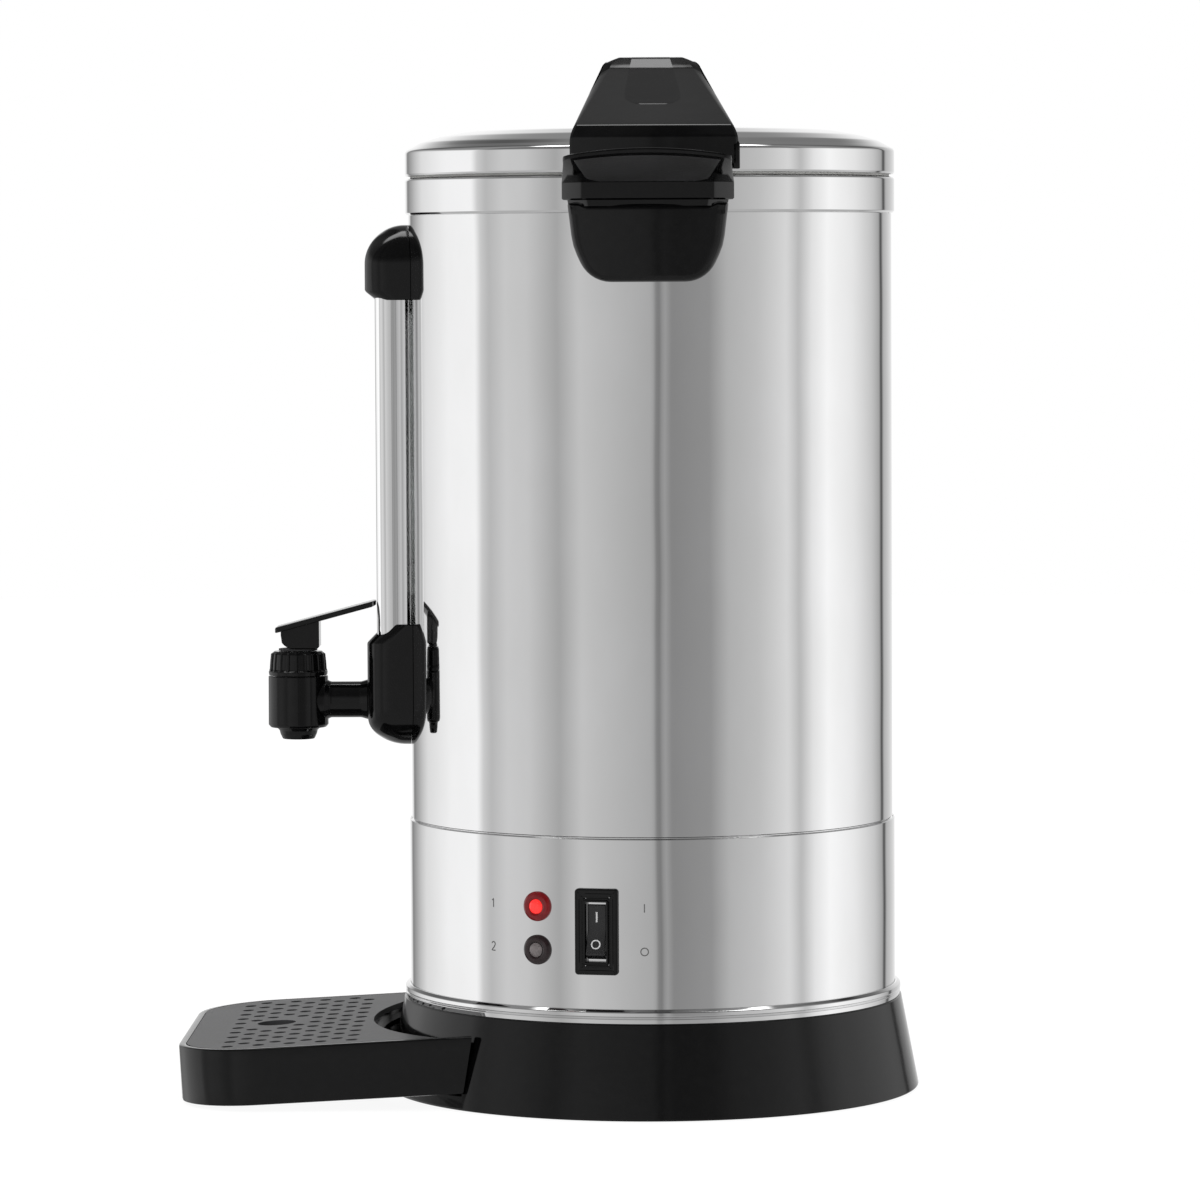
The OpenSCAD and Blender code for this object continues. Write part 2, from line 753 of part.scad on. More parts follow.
// Front view of the shield: straight sides that close in on a rounded foot
module shield_front() {
  foot_arc = 22;
  hull() {
    translate([-shield_w / 2, shield_h - 2]) square([shield_w, 2]);
    for (s = [-1, 1]) translate([s * (shield_foot_w / 2 + 1 - foot_arc / 4), foot_arc])
      circle(r = foot_arc, $fn = 64);
  }
}

// Plan of the neck: flat front with round corners
module neck_plan() {
  y = tank_r + neck_out;
  translate([-neck_w / 2, -y + neck_corner]) square([neck_w, neck_corner + 6]);
  translate([-neck_w / 2 + neck_corner, -y]) square([neck_w - 2 * neck_corner, neck_corner + 1]);
  for (s = [-1, 1]) translate([s * (neck_w / 2 - neck_corner), -y + neck_corner])
    circle(r = neck_corner);
}

// The grip: from the neck's outer edge it rises outwards to a thin arched lip
module side_grip() {
  arch = 3.4;
  corner = 3;
  end_z = grip_top_z - arch - lip_t;
  hull() {
    translate([0, 0, neck_top_z]) linear_extrude(0.5) intersection() {
      neck_plan($fn = 48);
      translate([-slab / 2, -slab]) square([slab, slab - tank_r - 1]);
    }
    for (s = [-1, 1], y = [tank_r + grip_out - 5, tank_r + 10])
      translate([s * (grip_w / 2 - corner), -y, end_z]) cylinder(r = corner, h = lip_t, $fn = 32);
    for (y = [tank_r + grip_out, tank_r + 12])
      translate([-15, -y, grip_top_z - lip_t]) cube([30, 6, lip_t]);
  }
}

// What a side handle leaves free: the tank, the collar, the lid handle's end and the screws
module side_handle_cuts() {
  cylinder(r = tank_r + fit, h = tank_top_z);
  translate([0, 0, tank_top_z - fit]) cylinder(r = collar_r + fit, h = slab);
  translate([0, 0, collar_top_z + 2]) cylinder(r = shoulder_r, h = slab);
  for (s = [-1, 1]) rotate([0, 0, s * handle_screw_turn]) translate([0, 0, handle_screw_z])
    peg(handle_screw_r + 0.05, -tank_r + over, shield_out - 1.5 + over);
}

module side_handle() color("#121214")
  difference() {
    union() {
      intersection() {
        translate([0, 0, shield_z]) rotate([90, 0, 0])
          linear_extrude(tank_r + shield_out + over) shield_front();
        translate([0, 0, shield_z - over]) cylinder(r = tank_r + shield_out, h = shield_h + 2 * over);
      }
      translate([0, 0, neck_z - 2]) linear_extrude(neck_top_z - neck_z + 2.5) neck_plan();
      side_grip();
    }
    side_handle_cuts();
  }

module front_handle() side_handle();

module rear_handle() rotate([0, 0, 180]) side_handle();

module handle_washers() color("#dddddd")
  each_handle_screw() difference() {
    peg(handle_screw_r + 4, -tank_r + tank_t + 1.5, washer_t);
    peg(handle_screw_r + fit, -tank_r + 10, 20);
  }

module handle_screws() color("silver")
  each_handle_screw() {
    peg(handle_screw_r + 2.5, -tank_r + tank_t + 3.7, 2.2);
    peg(handle_screw_r, -tank_r + tank_t + 1.6, shield_out - 2 + tank_t);
  }

// Sight gauge

module guard_plan(grow) {
  inset = guard_t + grow;
  difference() {
    gauge_plan(guard_x - grow, guard_half_w + grow, guard_corner + grow);
    gauge_plan(guard_x + inset, guard_half_w - inset, guard_corner - inset);
    translate([-tank_r - 1 + grow, -slab / 2]) square([slab, slab]);
  }
}

module gauge_guard() color("silver")
  difference() {
    translate([0, 0, guard_z]) linear_extrude(guard_top_z - guard_z) guard_plan(0);
    translate([guard_x - over, -slot_w / 2, housing_top_z + 6])
      cube([4, slot_w, cap_z - housing_top_z - 12]);
  }

module guard_pocket(z0, z1)
  translate([0, 0, z0]) linear_extrude(z1 - z0) guard_plan(fit);

module gauge_glass() color("lightcyan", 0.5)
  translate([0, 0, glass_z]) translate([glass_x, 0, 0])
    tube(glass_r, glass_r - glass_t, glass_top_z - glass_z);

module gauge_seals() color("#c8c8c8")
  for (z = [housing_top_z - seal_h - 2, cap_z + 2]) translate([glass_x, 0, z])
    tube(seal_r, glass_r + 0.05, seal_h);

module gauge_cap() color("#121214")
  difference() {
    intersection() {
      translate([0, 0, cap_z]) linear_extrude(cap_h) gauge_plan(gauge_x, gauge_half_w, 11);
      rotate([90, 0, 0]) linear_extrude(3 * gauge_half_w, center = true) cap_side();
      rotate([90, 0, 90]) linear_extrude(slab, center = true) cap_front();
    }
    cylinder(r = tank_r + fit, h = slab * 2);
    guard_pocket(cap_z - over, guard_top_z + fit);
    translate([glass_x, 0, cap_z - over]) cylinder(r = glass_bore_r, h = glass_seat + over + 1);
    translate([glass_x, 0, cap_z + 2 - 0.05]) cylinder(r = seal_r + 0.05, h = seal_h + 0.1);
    translate([-tank_r, 0, gauge_screw_z]) rotate([0, -90, 0])
      cylinder(r = handle_screw_r + 0.05, h = 12);
  }

// Side view of the cap: a scooped lower lip, an upright face and a round shoulder
module cap_side() {
  shoulder = 18;
  difference() {
    translate([gauge_x, cap_z]) square([slab, cap_h]);
    translate([gauge_x - over, cap_z - over]) polygon([
      [0, 0], [5.5 + over, 0], [5.5 + over, over], [over, over + 4.2], [0, over + 4.2]
    ]);
    difference() {
      translate([gauge_x - over, cap_top_z - shoulder]) square([shoulder + over, shoulder + over]);
      translate([gauge_x + shoulder, cap_top_z - shoulder]) circle(r = shoulder);
    }
  }
}

// Front view of the cap: a half round top
module cap_front() {
  translate([0, cap_top_z - gauge_half_w]) circle(r = gauge_half_w);
  translate([-gauge_half_w, cap_z]) square([2 * gauge_half_w, cap_h - gauge_half_w]);
}

module gauge_screw() color("silver")
  translate([-tank_r + tank_t + gap, 0, gauge_screw_z]) {
    rotate([0, 90, 0]) cylinder(r = handle_screw_r + 2.5, h = 2.4);
    rotate([0, -90, 0]) cylinder(r = handle_screw_r, h = 12);
  }

// Tap

module tap_housing() color("#121214")
  difference() {
    intersection() {
      translate([0, 0, housing_foot_z]) linear_extrude(housing_up + housing_down)
        gauge_plan(gauge_x, gauge_half_w, 11);
      rotate([90, 0, 0]) linear_extrude(3 * gauge_half_w, center = true) housing_side();
      rotate([90, 0, 90]) linear_extrude(slab, center = true) housing_front();
    }
    cylinder(r = tank_r + fit, h = slab);
    guard_pocket(guard_z - fit, housing_top_z + over);
    translate([glass_x, 0, glass_z - 1]) cylinder(r = glass_bore_r, h = glass_seat + 2 * over);
    translate([glass_x, 0, housing_top_z - seal_h - 2 - 0.05]) cylinder(r = seal_r + 0.05, h = seal_h + 0.1);
    translate([glass_x, 0, tap_z]) cylinder(r = 3, h = glass_z - tap_z);
    translate([gauge_x - over, 0, tap_z]) rotate([0, 90, 0])
      cylinder(r = shank_r + fit, h = gauge_out + 4 * over);
  }

// Side view of the tap housing: a slanted brow, an upright face and a round belly
module housing_side() {
  brow = 9;
  belly_w = 18;
  belly_h = 13;
  difference() {
    translate([gauge_x, housing_foot_z]) square([slab, housing_up + housing_down]);
    translate([gauge_x - over, housing_top_z - brow]) polygon([
      [0, 0], [over, 0], [over + brow, brow], [over + brow, brow + over], [0, brow + over]
    ]);
    difference() {
      translate([gauge_x - over, housing_foot_z - over]) square([belly_w + over, belly_h + over]);
      translate([gauge_x + belly_w, housing_foot_z + belly_h]) scale([belly_w / belly_h, 1])
        circle(r = belly_h);
    }
  }
}

// Front view of the tap housing: a half round foot
module housing_front() {
  translate([0, housing_foot_z + gauge_half_w]) circle(r = gauge_half_w);
  translate([-gauge_half_w, housing_foot_z + gauge_half_w])
    square([2 * gauge_half_w, housing_up + housing_down - gauge_half_w]);
}

module tap_body() color("#151517")
  difference() {
    union() {
      translate([valve_x, 0, 0]) rotate_extrude() polygon([
        [0, valve_z - nozzle_len], [nozzle_r + 2.5, valve_z - nozzle_len],
        [nozzle_r + 3.5, valve_z - 2], [nozzle_r + 5, valve_z], [valve_r - 1, valve_z],
        [valve_r, valve_z + 1], [valve_r, valve_top_z], [0, valve_top_z]
      ]);
      translate([valve_x, 0, tap_z]) rotate([0, 90, 0]) cylinder(r = spout_r, h = gauge_x - valve_x - fit);
      translate([gauge_x - 3, 0, tap_z]) rotate([0, 90, 0])
        cylinder(r1 = spout_r, r2 = spout_r + 1, h = 3 - fit);
      translate([gauge_x - fit - over, 0, tap_z]) rotate([0, 90, 0])
        cylinder(r = shank_r, h = shank_in_x - gauge_x + fit + over);
    }
    translate([valve_x, 0, seat_z]) cylinder(r = chamber_r, h = valve_h);
    translate([valve_x, 0, valve_z - nozzle_len - over]) cylinder(r = nozzle_r, h = valve_h);
    translate([valve_x, 0, tap_z]) rotate([0, 90, 0]) cylinder(r = spout_bore_r, h = valve_out + 40);
    translate([glass_x, 0, tap_z]) cylinder(r = 2.5, h = shank_r + over);
  }

module tap_washer() color("#c8c8c8")
  translate([tap_washer_x, 0, tap_z]) rotate([0, 90, 0]) difference() {
    cylinder(r = shank_r + 4, h = tap_washer_t);
    translate([0, 0, -over]) cylinder(r = shank_r + 0.05, h = tap_washer_t + 2 * over);
  }

module tap_nut() color("ivory")
  translate([tap_washer_x + tap_washer_t, 0, tap_z]) rotate([0, 90, 0]) difference() {
    cylinder(r = shank_r + 4.5, h = 8, $fn = 6);
    translate([0, 0, -over]) cylinder(r = shank_r + 0.05, h = 8 + 2 * over, $fn = 96);
  }

module bonnet() color("#151517")
  translate([valve_x, 0, 0]) difference() {
    union() {
      translate([0, 0, bonnet_z - 7]) cylinder(r = chamber_r - 0.05, h = 8);
      translate([0, 0, bonnet_z]) cylinder(r = valve_r - 0.1, h = 1.5);
      translate([0, 0, bonnet_z]) rotate_extrude() polygon([
        [0, 0], [valve_r - 1.2, 0], [valve_r - 1.4, bonnet_top_z - bonnet_z - 1.6],
        [valve_r - 2.6, bonnet_top_z - bonnet_z], [0, bonnet_top_z - bonnet_z]
      ]);
      for (i = [0 : bonnet_ribs - 1]) rotate([0, 0, i * 360 / bonnet_ribs])
        translate([valve_r - 2, -0.6, bonnet_z + 1]) cube([1.4, 1.2, bonnet_top_z - bonnet_z - 3]);
    }
    translate([0, 0, bonnet_z - 7 - over])
      cylinder(r = chamber_r - 2, h = bonnet_top_z - bonnet_z - bonnet_roof + 7 + over);
    translate([0, 0, bonnet_z]) cylinder(r = stem_bore_r, h = bonnet_h + over);
  }

module valve_spring() color("silver")
  translate([valve_x, 0, spring_z]) tube(spring_r, spring_r - 2, spring_top_z - spring_z - 0.05);

module turn_washer() color("#202020")
  translate([valve_x, 0, washer_z]) tube(stem_r + 6.5, stem_bore_r, turn_washer_t);

module stem() color("white")
  difference() {
    union() {
      translate([valve_x, 0, spring_z - 4]) cylinder(r = stem_r, h = pin_z + stem_r - spring_z + 4);
      translate([valve_x, 0, spring_z - 1.8]) cylinder(r = chamber_r - 2.6, h = 1.5);
    }
    translate([valve_x, 0, pin_z]) rotate([90, 0, 0])
      cylinder(r = pin_r + 0.02, h = 4 * stem_r, center = true);
  }

module seat_cup() color("#e6e6e6")
  translate([valve_x, 0, 0]) difference() {
    rotate_extrude() polygon([
      [0, seat_z + gap], [nozzle_r + 1.8, seat_z + gap], [nozzle_r + 2.6, seat_z + 2],
      [chamber_r - 2.6, spring_z - 3], [chamber_r - 2.6, spring_z - 1.9], [0, spring_z - 1.9]
    ]);
    translate([0, 0, spring_z - 4.05]) cylinder(r = stem_r + 0.05, h = 6);
  }

module lever_pin() color("silver")
  translate([valve_x, 0, pin_z]) rotate([90, 0, 0]) cylinder(r = pin_r, h = cam_w - 0.6, center = true);

// Outline of the cam below the pin: at tip angle a it reaches pin_rise + cam_rate * a down
function cam_reach(a) = pin_rise + cam_rate * a * PI / 180;
function cam_point(a) = [
  -cam_reach(a) * sin(a) - cam_rate * cos(a),
  -cam_reach(a) * cos(a) + cam_rate * sin(a)
];

module cam_outline()
  polygon(concat(
    [[10.3, -pin_rise]],
    [for (a = [0 : 5 : tip_max]) cam_point(a)],
    [[cam_point(tip_max)[0] + 0.1, 1.6], [10.3, 1.6 + 18 * tan(lever_slope)]]
  ));

module lever() color("#151517")
  translate([valve_x, 0, pin_z]) difference() {
    union() {
      rotate([90, 0, 0]) linear_extrude(cam_w, center = true) lever_block();
      lever_plate();
    }
    rotate([90, 0, 0]) linear_extrude(2 * stem_r + 0.8, center = true) stem_slot();
    rotate([90, 0, 0]) cylinder(r = pin_r + 0.08, h = cam_w + 2, center = true);
  }

module lever_block() {
  cam_outline();
  intersection() {
    polygon([[-7.6, 0], [10.3, 0], [10.3, 20], [-7.6, 20]]);
    translate([0, plate_rise + 0.5]) rotate([0, 0, lever_slope]) translate([-50, -50]) square([100, 50]);
  }
}

// Room for the stem's head between the lever's cheeks, at every tip angle
module stem_slot() {
  clear = stem_r + 0.5;
  circle(r = sqrt(2) * stem_r + gap);
  for (a = [0 : 13 : tip_max]) rotate([0, 0, -a]) translate([-clear, -20]) square([2 * clear, 20]);
}

// The plate, with a round long end that keeps within the lever's length of the valve's axis
module lever_plate()
  intersection() {
    translate([0, 0, plate_rise]) rotate([0, -lever_slope, 0])
      translate([-2 * lever_len, -lever_w / 2, 0]) cube([4 * lever_len, lever_w, lever_t]);
    translate([0, 0, -slab / 2]) linear_extrude(slab) union() {
      intersection() {
        circle(r = lever_len);
        translate([0, -lever_w / 2]) square([slab, lever_w]);
      }
      translate([-lever_short + 2, -lever_w / 2]) square([lever_short, lever_w]);
      translate([-lever_short, -lever_w / 2 + 2]) square([lever_short, lever_w - 4]);
      for (s = [-1, 1]) translate([-lever_short + 2, s * (lever_w / 2 - 2)]) circle(r = 2);
    }
  }

// Lid

// Outside of the lid, from the skirt's lower edge to the centre
function lid_outer() = [
  [lid_r - 0.6, lid_z], [lid_r, lid_z + 1.2], [lid_r, skirt_top_z - 3],
  [lid_r - 1.6, skirt_top_z - 0.8], [lid_r - 4, skirt_top_z + 0.1 * dome_rise],
  [lid_r - 7.2, skirt_top_z + 0.25 * dome_rise], [lid_r - 15.6, skirt_top_z + 0.52 * dome_rise],
  [lid_r - 29, skirt_top_z + 0.8 * dome_rise], [0, skirt_top_z + dome_rise]
];

// Inside of the lid's sheet
function lid_inner() = [
  [0, skirt_top_z + dome_rise - lid_t], [lid_r - 29 - 0.2 * lid_t, skirt_top_z + 0.8 * dome_rise - lid_t],
  [lid_r - 15.6 - 0.4 * lid_t, skirt_top_z + 0.52 * dome_rise - lid_t],
  [lid_r - 7.2 - 0.6 * lid_t, skirt_top_z + 0.25 * dome_rise - lid_t],
  [lid_r - 4 - 0.7 * lid_t, skirt_top_z + 0.1 * dome_rise - lid_t],
  [lid_r - 1.6 - lid_t, skirt_top_z - 1.4 - 0.3 * lid_t], [lid_r - lid_t, skirt_top_z - 3.6],
  [lid_r - lid_t, lid_z + 1.2], [lid_r - lid_t - 0.6, lid_z]
];

module lid_outside(grow)
  rotate_extrude() polygon(concat(
    [for (p = lid_outer()) [p[0] + (p[0] > 0 ? grow : 0), p[1] + (p[1] > skirt_top_z ? grow : 0)]],
    [[0, lid_z]]
  ));

module each_lid_screw()
  for (side = [-1, 1], s = [-1, 1]) translate([s * 14, side * lid_screw_out, 0]) children();

module lid_place() rotate([0, 0, lid_rest_angle]) children();

module lid_dome() color("gainsboro")
  lid_place() difference() {
    rotate_extrude() polygon(concat(lid_outer(), lid_inner()));
    each_lid_screw() translate([0, 0, lid_z]) cylinder(r = lid_screw_r + fit, h = 60);
  }

module lid_pan() color("silver")
  rotate_extrude() polygon([
    [0, pan_z], [pan_r, pan_z], [pan_r, flange_z], [lid_r - lid_t - fit, flange_z],
    [lid_r - lid_t - fit, flange_z + pan_t], [pan_r - pan_t, flange_z + pan_t],
    [pan_r - pan_t, pan_z + pan_t], [0, pan_z + pan_t]
  ]);

module lid_seal() color("#d8d8d8")
  translate([0, 0, collar_top_z + gap])
    tube(collar_r - 2.4, pan_r + gap, flange_z - collar_top_z - 2 * gap);

// Side view of the lid handle, seen along X: the whole arch
module arch_side() {
  hw = arch_r;
  foot = lid_z + 3.2;
  brow = skirt_top_z + 3;
  top = arch_top_z;
  flat = arch_flat / 2;
  polygon([
    [-hw, foot], [-hw, brow], [-hw + 2.5, brow + 5], [-flat - 8, top - 5.2], [-flat, top - 1.2],
    [-flat + 14, top], [flat - 14, top], [flat, top - 1.2], [flat + 8, top - 5.2],
    [hw - 2.5, brow + 5], [hw, brow], [hw, foot]
  ]);
}

// Side view of the opening below the grip
module arch_gap() {
  low = skirt_top_z + dome_rise - 1;
  top = arch_top_z - arch_t;
  polygon([
    [-arch_foot_y, low - 6], [-arch_foot_y, low + 2], [12 - arch_foot_y, top - 4], [20 - arch_foot_y, top],
    [arch_foot_y - 20, top], [arch_foot_y - 12, top - 4], [arch_foot_y, low + 2], [arch_foot_y, low - 6]
  ]);
}

// End view of the lid handle, seen along Y
module arch_end() {
  wide = arch_end_w / 2;
  top = arch_top_w / 2;
  z0 = lid_z + 3.2;
  z1 = skirt_top_z + 1;
  z2 = arch_top_z;
  polygon([
    [-wide, z0], [-wide, z1 - 2], [-wide + 0.9, z1 + 5], [-top - 3.6, z2 - 10],
    [-top, z2 - 3.4], [-top + 5.5, z2],
    [top - 5.5, z2], [top, z2 - 3.4], [top + 3.6, z2 - 10], [wide - 0.9, z1 + 5], [wide, z1 - 2], [wide, z0]
  ]);
}

module lid_handle() color("#121214")
  lid_place() difference() {
    union() {
      intersection() {
        rotate([90, 0, 90]) linear_extrude(slab, center = true) arch_side();
        rotate([90, 0, 0]) linear_extrude(slab, center = true) arch_end();
        cylinder(r = arch_r, h = arch_top_z + over);
      }
      for (side = [0, 180]) rotate([0, 0, side]) stop_tab();
    }
    rotate([90, 0, 90]) linear_extrude(slab, center = true) arch_gap();
    lid_outside(fit);
    translate([0, 0, arch_top_z - inlay_t - fit]) inlay_plan(fit);
    each_lid_screw() translate([0, 0, lid_z])
      cylinder(r = lid_screw_r + 0.05, h = lid_screw_tip_z - lid_z + 1);
  }

// The tab at the lid handle's right-hand corner that stops against the side handle's lip
module stop_tab() {
  x = arch_end_w / 2 - stop_w;
  difference() {
    intersection() {
      translate([x, -arch_r - 3, collar_top_z + 2.6]) cube([stop_w, 12, 12]);
      cylinder(r = arch_r + 3, h = arch_top_z);
    }
    cylinder(r = lid_r + 2 * gap, h = arch_top_z);
  }
}

module inlay_plan(grow) {
  len_half = arch_flat / 2 - 16;
  linear_extrude(slab) union() {
    square([inlay_w + 2 * grow, 2 * len_half], center = true);
    for (s = [-1, 1]) translate([0, s * len_half]) circle(r = inlay_w / 2 + grow);
  }
}

module lid_inlay() color("#1a1a1c")
  lid_place() intersection() {
    translate([0, 0, arch_top_z - inlay_t]) inlay_plan(0);
    rotate([90, 0, 90]) linear_extrude(slab, center = true) arch_side();
  }

module lid_screws() color("silver")
  lid_place() each_lid_screw() {
    translate([0, 0, lid_screw_head_z - 2.2]) cylinder(r = lid_screw_r + 2, h = 2.2);
    translate([0, 0, lid_screw_head_z]) cylinder(r = lid_screw_r, h = lid_screw_len);
  }

// Drip tray

// Plan of the tray, drawn in by a margin
module tray_plan(inset) {
  x = -tray_reach + inset;
  hw = tray_w / 2 - inset;
  r = tray_corner - inset;
  end_x = -sqrt(base_top_r * base_top_r - hw * hw) + 3;
  translate([x + r, -hw]) square([end_x - x - r, 2 * hw]);
  translate([x, -hw + r]) square([r + over, 2 * (hw - r)]);
  for (s = [-1, 1]) translate([x + r, s * (hw - r)]) circle(r = r);
}

// Plan of the tray without the part beside the urn
module tray_plan_outside(inset, r)
  difference() {
    tray_plan(inset);
    circle(r = r);
  }

// The sump, the seat of the grid, and the apron beside the urn with its hollow below
module tray_hollows() {
  translate([0, 0, tray_t]) linear_extrude(grid_z - 3 - tray_t) tray_plan_outside(tray_t, grid_in_r + tray_t);
  translate([0, 0, grid_z - 4]) linear_extrude(8) tray_plan_outside(rim_w + grid_ledge, grid_in_r + tray_t);
  translate([0, 0, grid_z]) linear_extrude(tray_h) tray_plan(rim_w);
  translate([0, 0, tray_h - apron_drop]) linear_extrude(tray_h) intersection() {
    tray_plan(rim_w);
    circle(r = grid_in_r);
  }
  translate([0, 0, -over]) linear_extrude(tray_h - apron_drop - tray_t + over) intersection() {
    tray_plan(tray_t);
    circle(r = grid_in_r);
  }
}

module tray_body() color("#131315") {
  difference() {
    on_slope() difference() {
      linear_extrude(tray_h) tray_plan(0);
      tray_hollows();
    }
    translate([0, 0, base_gap - base_h])
      cylinder(r1 = 2 * base_r - base_top_r + 2 * gap, r2 = base_top_r + 2 * gap, h = 2 * base_h);
  }
  for (s = [-1, 1]) translate([tray_pad_x, s * tray_pad_y, 0]) difference() {
    cylinder(r = tray_pad_r, h = 6);
    translate([-tray_pad_x, 0, 0]) on_slope() translate([-slab, -slab / 2, fit]) cube([2 * slab, slab, slab]);
  }
}

module tray_grid() color("#3a3a3e")
  on_slope() translate([0, 0, tray_h - grid_t]) linear_extrude(grid_t) difference() {
    tray_plan_outside(rim_w + gap, grid_in_r);
    drain_holes();
  }

// Rows of drain holes that keep clear of the grid's edges and of the large hole below the tap
module drain_holes() {
  edge = 24;
  cup_x = valve_x - 10;
  cols = floor((tray_reach - edge - grid_in_r - 2) / hole_col);
  rows = floor((tray_w - edge - 2) / hole_row);
  for (i = [0 : cols], j = [0 : rows]) {
    x = -tray_reach + edge + i * hole_col;
    y = (j - rows / 2) * hole_row + (i % 2 - 0.5) * hole_row / 2;
    away = norm([x - cup_x, y]) > cup_hole_r + hole_r + 1.5;
    inside = norm([x, y]) > grid_in_r + hole_r + 3;
    if (away && inside) translate([x, y]) circle(r = hole_r);
  }
  translate([cup_x, 0]) circle(r = cup_hole_r);
}

tank_shell();
rim_collar();
lower_band();
trim_ring();
base_moulding();
base_cover();
rubber_feet();
cover_screws();
tie_rods();
heat_spreader();
boil_element();
warm_element();
sensor_bracket();
boil_thermostat();
thermal_cutout();
terminal_block();
wiring();
on_band(180, inlet_z) inlet_housing();
on_band(180, inlet_z) inlet_pins();
on_band(180, inlet_z) inlet_screws();
on_band(switch_angle, switch_z) switch_housing();
on_band(switch_angle, switch_z) switch_rocker();
boil_lamp();
warm_lamp();
lamp_nuts();
front_handle();
rear_handle();
handle_screws();
handle_washers();
gauge_glass();
gauge_guard();
gauge_cap();
gauge_screw();
gauge_seals();
tap_housing();
tap_body();
tap_washer();
tap_nut();
bonnet();
valve_spring();
turn_washer();
stem();
seat_cup();
lever_pin();
lever();
lid_dome();
lid_pan();
lid_seal();
lid_handle();
lid_inlay();
lid_screws();
tray_body();
tray_grid();
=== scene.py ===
import json
import math

import bmesh
import bpy
import numpy as np
from mathutils import Matrix, Vector


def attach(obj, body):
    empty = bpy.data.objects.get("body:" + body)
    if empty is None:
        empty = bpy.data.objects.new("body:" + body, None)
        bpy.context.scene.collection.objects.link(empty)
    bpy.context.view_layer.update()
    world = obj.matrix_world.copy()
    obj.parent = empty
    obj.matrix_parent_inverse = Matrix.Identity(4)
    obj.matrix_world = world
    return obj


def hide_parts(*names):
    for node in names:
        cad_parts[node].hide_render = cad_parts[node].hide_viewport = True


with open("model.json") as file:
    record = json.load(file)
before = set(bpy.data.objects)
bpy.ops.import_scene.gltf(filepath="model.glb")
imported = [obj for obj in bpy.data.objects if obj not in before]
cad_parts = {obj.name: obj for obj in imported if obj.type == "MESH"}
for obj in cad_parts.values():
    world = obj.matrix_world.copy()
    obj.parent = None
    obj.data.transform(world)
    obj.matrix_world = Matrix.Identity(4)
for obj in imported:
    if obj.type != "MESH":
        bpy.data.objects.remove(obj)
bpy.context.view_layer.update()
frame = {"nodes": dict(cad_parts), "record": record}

# Camera: a long lens 2.7 m away, a little below the rim's height, that looks down by 3.3 degrees.
# The urn stands turned by about one degree against it.
camera_place = Vector((0.0169, -2.676, 0.3809))
look_down = math.radians(3.293)
heading = math.radians(0.873)
camera_roll = math.radians(-0.287)
camera = bpy.data.objects.new("camera", bpy.data.cameras.new("camera"))
camera.data.sensor_width = 36
camera.data.lens = 172.65
camera.data.clip_end = 50
camera.matrix_world = (
    Matrix.Translation(camera_place)
    @ Matrix.Rotation(heading, 4, "Z")
    @ Matrix.Rotation(math.pi / 2 - look_down, 4, "X")
    @ Matrix.Rotation(camera_roll, 4, "Z")
)
bpy.context.scene.collection.objects.link(camera)
bpy.context.scene.camera = camera
bpy.context.scene.view_settings.view_transform = "Standard"


class Wire:
    """An output socket of a node tree. +, -, * and / on it add Math nodes."""

    def __init__(self, tree, out=None):
        self.tree = tree
        self.out = out

    def node(self, kind, settings, inputs, out=0):
        """Adds a node: its settings are set first, then the values or links of its sockets."""
        new = self.tree.nodes.new("ShaderNode" + kind)
        for key, value in settings.items():
            if key == "stops":
                stops = new.color_ramp.elements
                while len(stops) < len(value):
                    stops.new(0.5)
                for stop, (place, grey) in zip(stops, value):
                    stop.position = place
                    stop.color = (grey, grey, grey, 1)
            else:
                setattr(new, key, value)
        for key, value in inputs.items():
            if isinstance(value, Wire):
                self.tree.links.new(value.out, new.inputs[key])
            else:
                new.inputs[key].default_value = value
        return Wire(self.tree, new.outputs[out])

    def maths(self, operation, *values):
        """One Math node with the values on its sockets in turn."""
        return self.node("Math", {"operation": operation}, dict(enumerate(values)))

    def __add__(self, other):
        return self.maths("ADD", self, other)

    def __rsub__(self, other):
        return self.maths("SUBTRACT", other, self)

    def __mul__(self, other):
        return self.maths("MULTIPLY", self, other)

    def __truediv__(self, other):
        return self.maths("DIVIDE", self, other)

    __radd__ = __add__

    def between(self, low, high):
        """0 below low, 1 above high and smooth in between."""
        return self.node(
            "MapRange", {"interpolation_type": "SMOOTHSTEP"}, {0: self, 1: low, 2: high, 3: 0.0, 4: 1.0}
        )

    def mix(self, first, second):
        """The first colour where this is 0 and the second where it is 1."""
        colours = [c if isinstance(c, Wire) else (*c, 1) for c in (first, second)]
        return self.node("Mix", {"data_type": "RGBA"}, {0: self, 6: colours[0], 7: colours[1]}, out=2)


# Studio: a white sweep with pale panels round the urn. Polished steel shows the panels as upright
# bands: bright at both sides, grey in front, with the dark slits between the panels. A wide lamp hangs
# overhead, a little behind the urn, and the ceiling round it is dim.
# Each pair is a bearing in degrees from the front, positive to the right, and a brightness.
panel_bearings = [
    (-180, 1.0), (-166, 0.9), (-160, 0.24), (-150, 0.44), (-135, 0.84), (-112, 1.04), (-91, 1.07),
    (-87, 0.70), (-82, 0.56), (-72, 0.69), (-60, 0.66), (-44, 0.45), (-33, 0.65), (-14, 0.54),
    (1, 0.46), (3.5, 0.18), (6.5, 0.40), (10, 0.28), (28, 0.33), (37, 0.52), (52, 0.62), (68, 0.82),
    (75, 0.58), (83, 0.92), (93, 1.12), (112, 0.96), (131, 0.66), (141, 0.42), (144, 0.02), (148, 0.5),
    (160, 0.7), (180, 1.0),
]
world = bpy.data.worlds.new("studio")
world.use_nodes = True
world.node_tree.nodes.clear()
sky = Wire(world.node_tree)
direction = sky.node("TexCoord", {}, {}, "Generated")
across, ahead, upwards = (sky.node("SeparateXYZ", {}, {0: direction}, axis) for axis in "XYZ")
